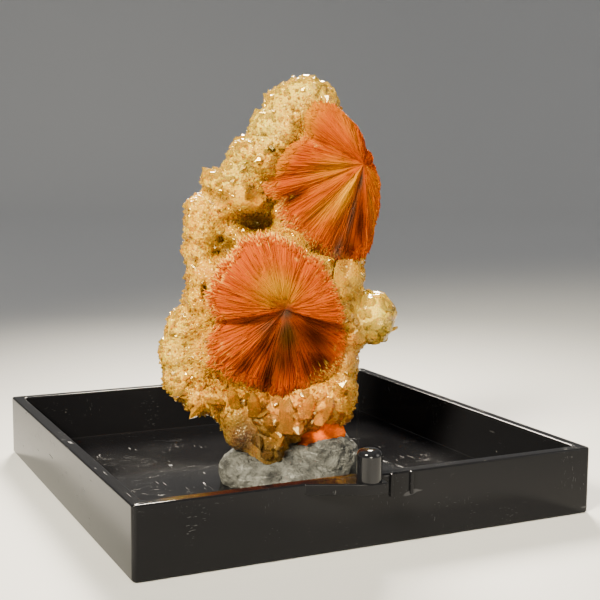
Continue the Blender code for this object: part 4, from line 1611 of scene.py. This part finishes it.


# %% [markdown]
# The colours of a spray are laid out in the same polar terms: golden near the growth point, salmon where
# the tips lie open, ash and olive in the worn centre, and a deep red, partly the needles' own and partly
# painted shade, where one sector dips behind another, under the lips and down the valleys. A stain here
# is an angle, a distance out, two half widths and a strength.

# %% Stains of the sprays
SPRAY_STAINS = {
    "upper": {
        "gold": ((238, 0.32, 11, 0.26, 1.0), (188, 0.30, 22, 0.26, 0.45), (230, 0.60, 8, 0.2, 0.5),
                 (176, 1.0, 16, 0.12, 0.5), (141, 1.02, 16, 0.18, 0.7), (282, 0.70, 6, 0.6, 0.25),
                 (310, 0.60, 22, 0.6, 0.25), (112, 0.80, 9, 0.5, 0.25)),
        "salmon": ((129, 0.62, 15, 0.5, 0.8), (158, 0.82, 3, 0.3, 1.0), (222, 0.85, 16, 0.2, 0.5),
                   (245, 0.9, 10, 0.2, 0.5), (190, 0.08, 60, 0.10, 0.7), (198, 0.95, 6, 0.12, 0.6)),
        "ash": ((262, 0.16, 8, 0.16, 1.0), (258, 0.50, 4, 0.30, 0.9), (254, 0.90, 4, 0.18, 0.9)),
        "pale": ((224, 1.0, 24, 0.14, 0.8), (196, 1.0, 6, 0.12, 0.6), (158, 0.84, 4, 0.25, 0.8),
                 (246, 1.0, 8, 0.10, 0.6)),
        # deep: partly the needles' deep red, partly painted shade down the valley, below the lips and in the
        # dark rims
        "deep": ((267, 0.62, 6, 0.36, 1.0), (262, 0.9, 6, 0.2, 0.9), (206, 0.84, 4, 0.22, 1.0),
                 (241, 1.0, 9, 0.10, 0.9), (226, 0.7, 2, 0.25, 0.5), (215, 0.6, 1.6, 0.25, 0.4),
                 (248, 0.7, 2, 0.3, 0.5), (153, 0.7, 1.6, 0.3, 0.5)),
    },
    "lower": {
        "gold": ((104, 0.30, 44, 0.22, 1.0), (150, 0.22, 20, 0.14, 0.6), (60, 0.2, 20, 0.1, 0.5)),
        "salmon": ((22, 0.72, 26, 0.35, 0.9), (110, 0.85, 50, 0.3, 0.5), (180, 0.8, 14, 0.3, 0.6),
                   (212, 0.72, 16, 0.35, 0.7), (306, 0.95, 12, 0.10, 1.0)),
        "ash": ((300, 0.05, 120, 0.10, 1.0), (222, 0.26, 14, 0.14, 0.7), (275, 0.24, 24, 0.18, 0.9)),
        "olive": ((276, 0.34, 24, 0.20, 1.0), (262, 0.55, 10, 0.16, 0.7)),
        # The pale entry at 306 degrees, with the salmon one there, is painted glints near the rim; the other
        # pale entries are pale needle tips.
        "pale": ((125, 1.0, 75, 0.2, 1.0), (22, 1.0, 40, 0.16, 0.7), (306, 0.94, 14, 0.12, 0.9),
                 (214, 0.9, 16, 0.2, 0.5)),
        # deep: partly the needles' deep red, partly painted shade where the lower sectors dip behind the
        # upper fan and under its lips
        "deep": ((318, 0.52, 26, 0.42, 1.0), (303, 0.82, 20, 0.30, 1.0), (256, 0.82, 8, 0.34, 1.0),
                 (272, 0.60, 18, 0.24, 0.8), (234, 0.80, 8, 0.16, 0.8), (244, 0.50, 11, 0.22, 0.8),
                 (290, 0.78, 6, 0.3, 0.9), (198, 0.45, 5, 0.2, 0.6), (266, 1.0, 26, 0.10, 0.6)),
    },
    "foot": {
        # deep red at the foot's left, partly painted shade
        "deep": ((192, 0.95, 18, 0.25, 1.0),),
        "gold": ((60, 0.5, 200, 1.5, 0.25),),
    },
}
STAIN_KINDS = ("gold", "salmon", "ash", "olive", "deep")


def polar_stain(angle, out, spots):
    """How strongly a list of polar spots marks each place."""
    total = np.zeros(len(angle))
    for middle, distance, half_angle, half_out, strength in spots:
        turn = (angle - middle + 180) % 360 - 180
        away = (turn / half_angle) ** 2 + ((out - distance) / half_out) ** 2
        total = np.maximum(total, strength * np.exp(-away))
    return total


def colour_spray(target, name, angle, out, tone, tip):
    """Write a spray's stains, the tone of its needles and their pale tips onto a mesh."""
    for kind in STAIN_KINDS:
        give_float(target.data, kind, polar_stain(angle, out, SPRAY_STAINS[name].get(kind, ())))
    give_float(target.data, "tone", 0.5 + tone)
    give_float(target.data, "tip", tip * polar_stain(angle, out, SPRAY_STAINS[name].get("pale", ())))
    give_spokes(target, angle, out)


print("stains for", list(SPRAY_STAINS))

# %% The faces of the sprays
BACK_RINGS = 8
SPRAY_GRAIN = 0.10
SPRAY_GRAIN_SIZE = 0.45
FOOT_STRANDS = 26.0
FACES = {
    # spray, points round it, rings on its face, seed
    "upper": (UPPER_SPRAY, 900, 60, 31),
    "lower": (LOWER_SPRAY, 960, 60, 32),
    "foot": (FOOT_SPRAY, 240, 24, 33),
}


def ring_tube(segments, rings):
    """A closed tube: X and Y give a point's angle, and Z is the number of its ring."""
    bm = bmesh.new()
    bmesh.ops.create_circle(bm, segments=segments, radius=1.0, matrix=Matrix.Translation((0, 0, 1)))
    rim = list(bm.edges)
    caps = bmesh.ops.contextual_create(bm, geom=rim)["faces"]
    for ring in range(2, rings):
        made = bmesh.ops.extrude_edge_only(bm, edges=rim)["geom"]
        lifted = {item for item in made if isinstance(item, bmesh.types.BMVert)}
        bmesh.ops.translate(bm, vec=(0, 0, 1), verts=list(lifted))
        rim = [item for item in made if isinstance(item, bmesh.types.BMEdge) and set(item.verts) <= lifted]
    caps += bmesh.ops.contextual_create(bm, geom=rim)["faces"]
    for vert in bmesh.ops.poke(bm, faces=caps)["verts"]:
        vert.co = (0, 0, round(vert.co.z) + (1 if vert.co.z > rings / 2 else -1))
    bmesh.ops.recalc_face_normals(bm, faces=bm.faces)
    return bm


def spray_face(name, spray, segments, front_rings, seed):
    """A closed tube whose near half is the face with its needles and whose far half narrows to its root."""
    rings = front_rings + BACK_RINGS
    made = piece_from(ring_tube(segments, rings), f"scolecite_{name}_face", place=Matrix.Identity(4))
    east, north, ring = rows_of(made.data.vertices, "co").T
    angle = np.degrees(np.arctan2(north, east)) % 360
    front = ring <= front_rings
    out = np.where(front, ring / front_rings, np.sin(pi / 2 * (rings - ring) / BACK_RINGS))
    strands = (spray["centre"][0] + east * along_rays(spray, angle, 1)) * FOOT_STRANDS % 360
    height, tone, tip, longer = needle_relief(spray, strands if name == "foot" else angle, out, seed)
    points = face_point(spray, angle, out, longer, height)
    flat = along_rays(spray, angle, 3) * out + height
    sunk = flat - spray["depth"] * np.sqrt(np.maximum(0, 1 - out ** 2))
    behind = face_point(spray, angle, out, longer, sunk - face_rise(spray, angle, out))
    put_points(made, np.where(front[:, None], points, behind))
    push(made, cloud(f"{name}_grain", "CLOUDS", SPRAY_GRAIN_SIZE), SPRAY_GRAIN)
    settle(made)
    colour_spray(made, name, angle, out, tone, tip)
    print(made.name, triangles(made), "triangles")
    return made


upper_face, lower_face, foot_face = (spray_face(name, *row) for name, row in FACES.items())

# %% [markdown]
# Free needles lie on the faces: long ones that follow their ray and stand a little proud, and a fringe
# of short ones with pale tips round each rim. Each is a five-sided tube that swells and closes to a
# point at both ends, built for all needles at once.

# %% Free needles
NEEDLE_SIDES = 5
NEEDLE_LIFT = (0.2, 0.5)
NEEDLE_TONE = (0.04, 0.16)
SHORT_RAYS = 1.5
PALE_START = 0.45
PALE_SHARE = 0.4
LONG_COUNT = 700
LONG_STEPS = 6
LONG_START = (0.12, 0.75)
LONG_ADDED = (0.12, 0.5)
LONG_LIMIT = (0.9, 1.02)
LONG_RADIUS = (0.06, 0.13)
LONG_DRIFT = 0.8
LONG_PALE = (0, 0.6)
RIM_COUNT = 1150
RIM_STEPS = 3
RIM_START = (0.86, 0.96)
RIM_ADDED = (0.05, 0.13)
RIM_RADIUS = (0.09, 0.17)
RIM_DRIFT = 2.2
RIM_PALE = (0.3, 1.0)


def needle_tubes(spray, angle, start, end, drift, radius, steps, seed):
    """Closed tubes along rays: points, triangles, and the angle, distance out and share along each."""
    along = np.linspace(0, 1, steps + 2)
    swell = np.sin(pi * along ** 0.8) ** 0.7
    swell[[0, -1]] = 0
    angles = (angle[:, None] + drift[:, None] * (along - 0.5)) % 360
    outs = start[:, None] + (end - start)[:, None] * along
    flat_angle, flat_out = angles.ravel(), np.minimum(outs, 1.0).ravel()
    height = needle_relief(spray, flat_angle, flat_out, seed)[0].reshape(angles.shape)
    lift = height.mean(axis=1, keepdims=True) + radius[:, None] * (NEEDLE_LIFT[0] + NEEDLE_LIFT[1] * along)
    path = face_point(spray, angles.ravel(), outs.ravel(), 0.0, lift.ravel()).reshape(*angles.shape, 3)
    direction = unit(np.gradient(path, axis=1))
    side = unit(np.cross(direction, np.array((0.0, -1.0, 0.0))))
    up = np.cross(side, direction)
    turn = 2 * pi * np.arange(NEEDLE_SIDES) / NEEDLE_SIDES
    thick = (radius[:, None] * swell)[:, 1:-1, None, None]
    ring = np.cos(turn)[:, None] * side[:, 1:-1, None] + np.sin(turn)[:, None] * up[:, 1:-1, None]
    tube = (path[:, 1:-1, None] + ring * thick).reshape(len(angle), -1, 3)
    points = np.concatenate((path[:, :1], tube, path[:, -1:]), axis=1)
    last = 1 + steps * NEEDLE_SIDES
    corners = []
    for corner in range(NEEDLE_SIDES):
        after = (corner + 1) % NEEDLE_SIDES
        corners.append((0, 1 + after, 1 + corner))
        corners.append((last, last - NEEDLE_SIDES + corner, last - NEEDLE_SIDES + after))
        for step in range(steps - 1):
            low = 1 + step * NEEDLE_SIDES
            high = low + NEEDLE_SIDES
            corners.append((low + corner, low + after, high + after))
            corners.append((low + corner, high + after, high + corner))
    corners = np.array(corners)
    offset = np.arange(len(angle))[:, None, None] * points.shape[1]
    share = np.concatenate(((0,), np.repeat(along[1:-1], NEEDLE_SIDES), (1,)))
    at_angle = np.repeat(angle, len(share))
    at_out = start[:, None] + (end - start)[:, None] * share[None]
    return points.reshape(-1, 3), (corners[None] + offset).reshape(-1, 3), at_angle, at_out.ravel(), share


def free_needles(name, seed):
    """Long needles over a face and a fringe of short ones round its rim."""
    spray, *_, face_seed = FACES[name]
    rng = np.random.default_rng(seed)
    parts, angles, outs, tones, tips = [], [], [], [], []
    for count, steps, rim in ((LONG_COUNT, LONG_STEPS, False), (RIM_COUNT, RIM_STEPS, True)):
        angle = rng.uniform(0, 360, count * 2)
        chance = np.clip(along_rays(spray, angle, 1) / FULL_REACH, 0, 1) ** SHORT_RAYS
        angle = angle[rng.random(len(angle)) < chance][:count]
        count = len(angle)
        if rim:
            start = rng.uniform(*RIM_START, count)
            end = start + rng.uniform(*RIM_ADDED, count)
            radius = rng.uniform(*RIM_RADIUS, count)
            drift = rng.normal(0, RIM_DRIFT, count)
        else:
            start = rng.uniform(*LONG_START, count)
            end = np.minimum(start + rng.uniform(*LONG_ADDED, count), rng.uniform(*LONG_LIMIT, count))
            radius = rng.uniform(*LONG_RADIUS, count)
            drift = rng.normal(0, LONG_DRIFT, count)
        tubes = needle_tubes(spray, angle, start, end, drift, radius, steps, face_seed)
        points, corners, at_angle, at_out, share = tubes
        parts.append((points, corners))
        angles.append(at_angle)
        outs.append(at_out)
        tones.append(np.repeat(rng.normal(*NEEDLE_TONE, count), len(share)))
        pale = rng.uniform(*(RIM_PALE if rim else LONG_PALE), count)
        if not rim:
            pale *= rng.random(count) < PALE_SHARE
        tips.append((pale[:, None] * smooth_step(PALE_START, 1.0, share)[None]).ravel())
    made = object_from_arrays(f"scolecite_{name}_needles", *stack(*parts), smooth=True)
    colour_spray(made, name, np.concatenate(angles), np.concatenate(outs), np.concatenate(tones),
                 np.concatenate(tips))
    print(made.name, triangles(made), "triangles")
    return made


upper_needles = free_needles("upper", 41)
lower_needles = free_needles("lower", 42)

# %% [markdown]
# The needles' finish is one ramp of orange, from deep red in the gaps, which is painted shade, to salmon
# on the crowns, which is painted light, with the stains mixed over it. Very fine striae below the size of
# the mesh are a stretched noise in the spokes' own coordinates, so they run along the needles everywhere.

# %% Scolecite finish
NEEDLE_RAMP = (
    (0.05, (0.045, 0.003, 0.0)),
    (0.28, (0.145, 0.012, 0.0)),
    (0.50, (0.27, 0.034, 0.0)),
    (0.70, (0.32, 0.047, 0.0)),
    (0.95, (0.39, 0.072, 0.0)),
)
# The foot's ramp and gold are far brighter than the other needles': painted light on the foot, which stands
# in shade.
FOOT_LIT_RAMP = (
    (0.20, (0.20, 0.014, 0.0)),
    (0.45, (0.68, 0.090, 0.0)),
    (0.75, (0.95, 0.210, 0.0)),
)
NEEDLE_GOLD = (0.50, 0.21, 0.0)
FOOT_LIT_GOLD = (0.84, 0.16, 0.0)
NEEDLE_SALMON = (0.42, 0.070, 0.001)
NEEDLE_ASH = (0.055, 0.030, 0.018)
NEEDLE_OLIVE = (0.036, 0.014, 0.001)
NEEDLE_DEEP_RED_AND_SHADE = (0.012, 0.001, 0.0)
NEEDLE_TIP = (1.0, 0.62, 0.09)
NEEDLE_GLOSS = (1.0, 0.45, 0.08)


def scolecite_finish(name, ramp, tip_share, gold):
    """Orange needles: a ramp of tones, the stains over it, pale tips and fine striae."""
    finish = Finish(name).set(IOR=1.52, Specular_IOR_Level=0.04, Specular_Tint=NEEDLE_GLOSS,
                              Subsurface_Weight=0.15, Subsurface_Scale=0.0008,
                              Subsurface_Radius=(1.0, 0.25, 0.05))
    striae = finish.noise(1.0, 3.0, 0.6, finish.spokes((60, 60, 5)))
    tone = finish.math("ADD", finish.attribute("tone"), finish.math("MULTIPLY", striae, 0.5))
    tone = finish.math("SUBTRACT", tone, 0.25)
    colour = finish.ramp(tone, *ramp)
    # The deep stain is partly the needles' own deep red and partly painted shade.
    colour = stained(finish, colour, (("salmon", NEEDLE_SALMON, 0.55), ("gold", gold, 0.85),
                                      ("ash", NEEDLE_ASH, 1.0), ("olive", NEEDLE_OLIVE, 0.95),
                                      ("deep", NEEDLE_DEEP_RED_AND_SHADE, 0.96)))
    colour = finish.mix(finish.math("MULTIPLY", finish.attribute("tip"), tip_share), colour, NEEDLE_TIP)
    normal = finish.bump(striae, 0.00012, 0.8)
    normal = finish.bump(finish.noise(3800, 2.0), 0.00008, 0.6, Normal=normal)
    rough = finish.ramp(striae, (0.3, 0.30), (0.7, 0.50))
    return finish.set(Base_Color=colour, Roughness=rough, Normal=normal).material


orange = scolecite_finish("orange_scolecite", NEEDLE_RAMP, 1.0, NEEDLE_GOLD)
# The foot's finish is a brighter copy of the orange, with painted light.
deep = scolecite_finish("deep_scolecite", FOOT_LIT_RAMP, 0.2, FOOT_LIT_GOLD)
for needles, node, slot in ((upper_face, "scolecite_spray_upper", "orange_scolecite"),
                            (upper_needles, "scolecite_spray_upper", "orange_scolecite"),
                            (lower_face, "scolecite_spray_lower", "orange_scolecite"),
                            (lower_needles, "scolecite_spray_lower", "orange_scolecite"),
                            (foot_face, "scolecite_foot", "deep_scolecite")):
    needles.data.materials.append(deep if node == "scolecite_foot" else orange)
    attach(needles, "root")
    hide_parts(node)
print("scolecite finishes are on")

# %% Size
final_low, final_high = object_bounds()
for axis, *ends in zip("XYZ", final_low, final_high, cad_low, cad_high):
    print(axis, "finished from and to, then CAD, mm:", [round(end / MM, 2) for end in ends])
print("triangles in all:", sum(triangles(o) for o in bpy.context.scene.objects if o.type == "MESH"))
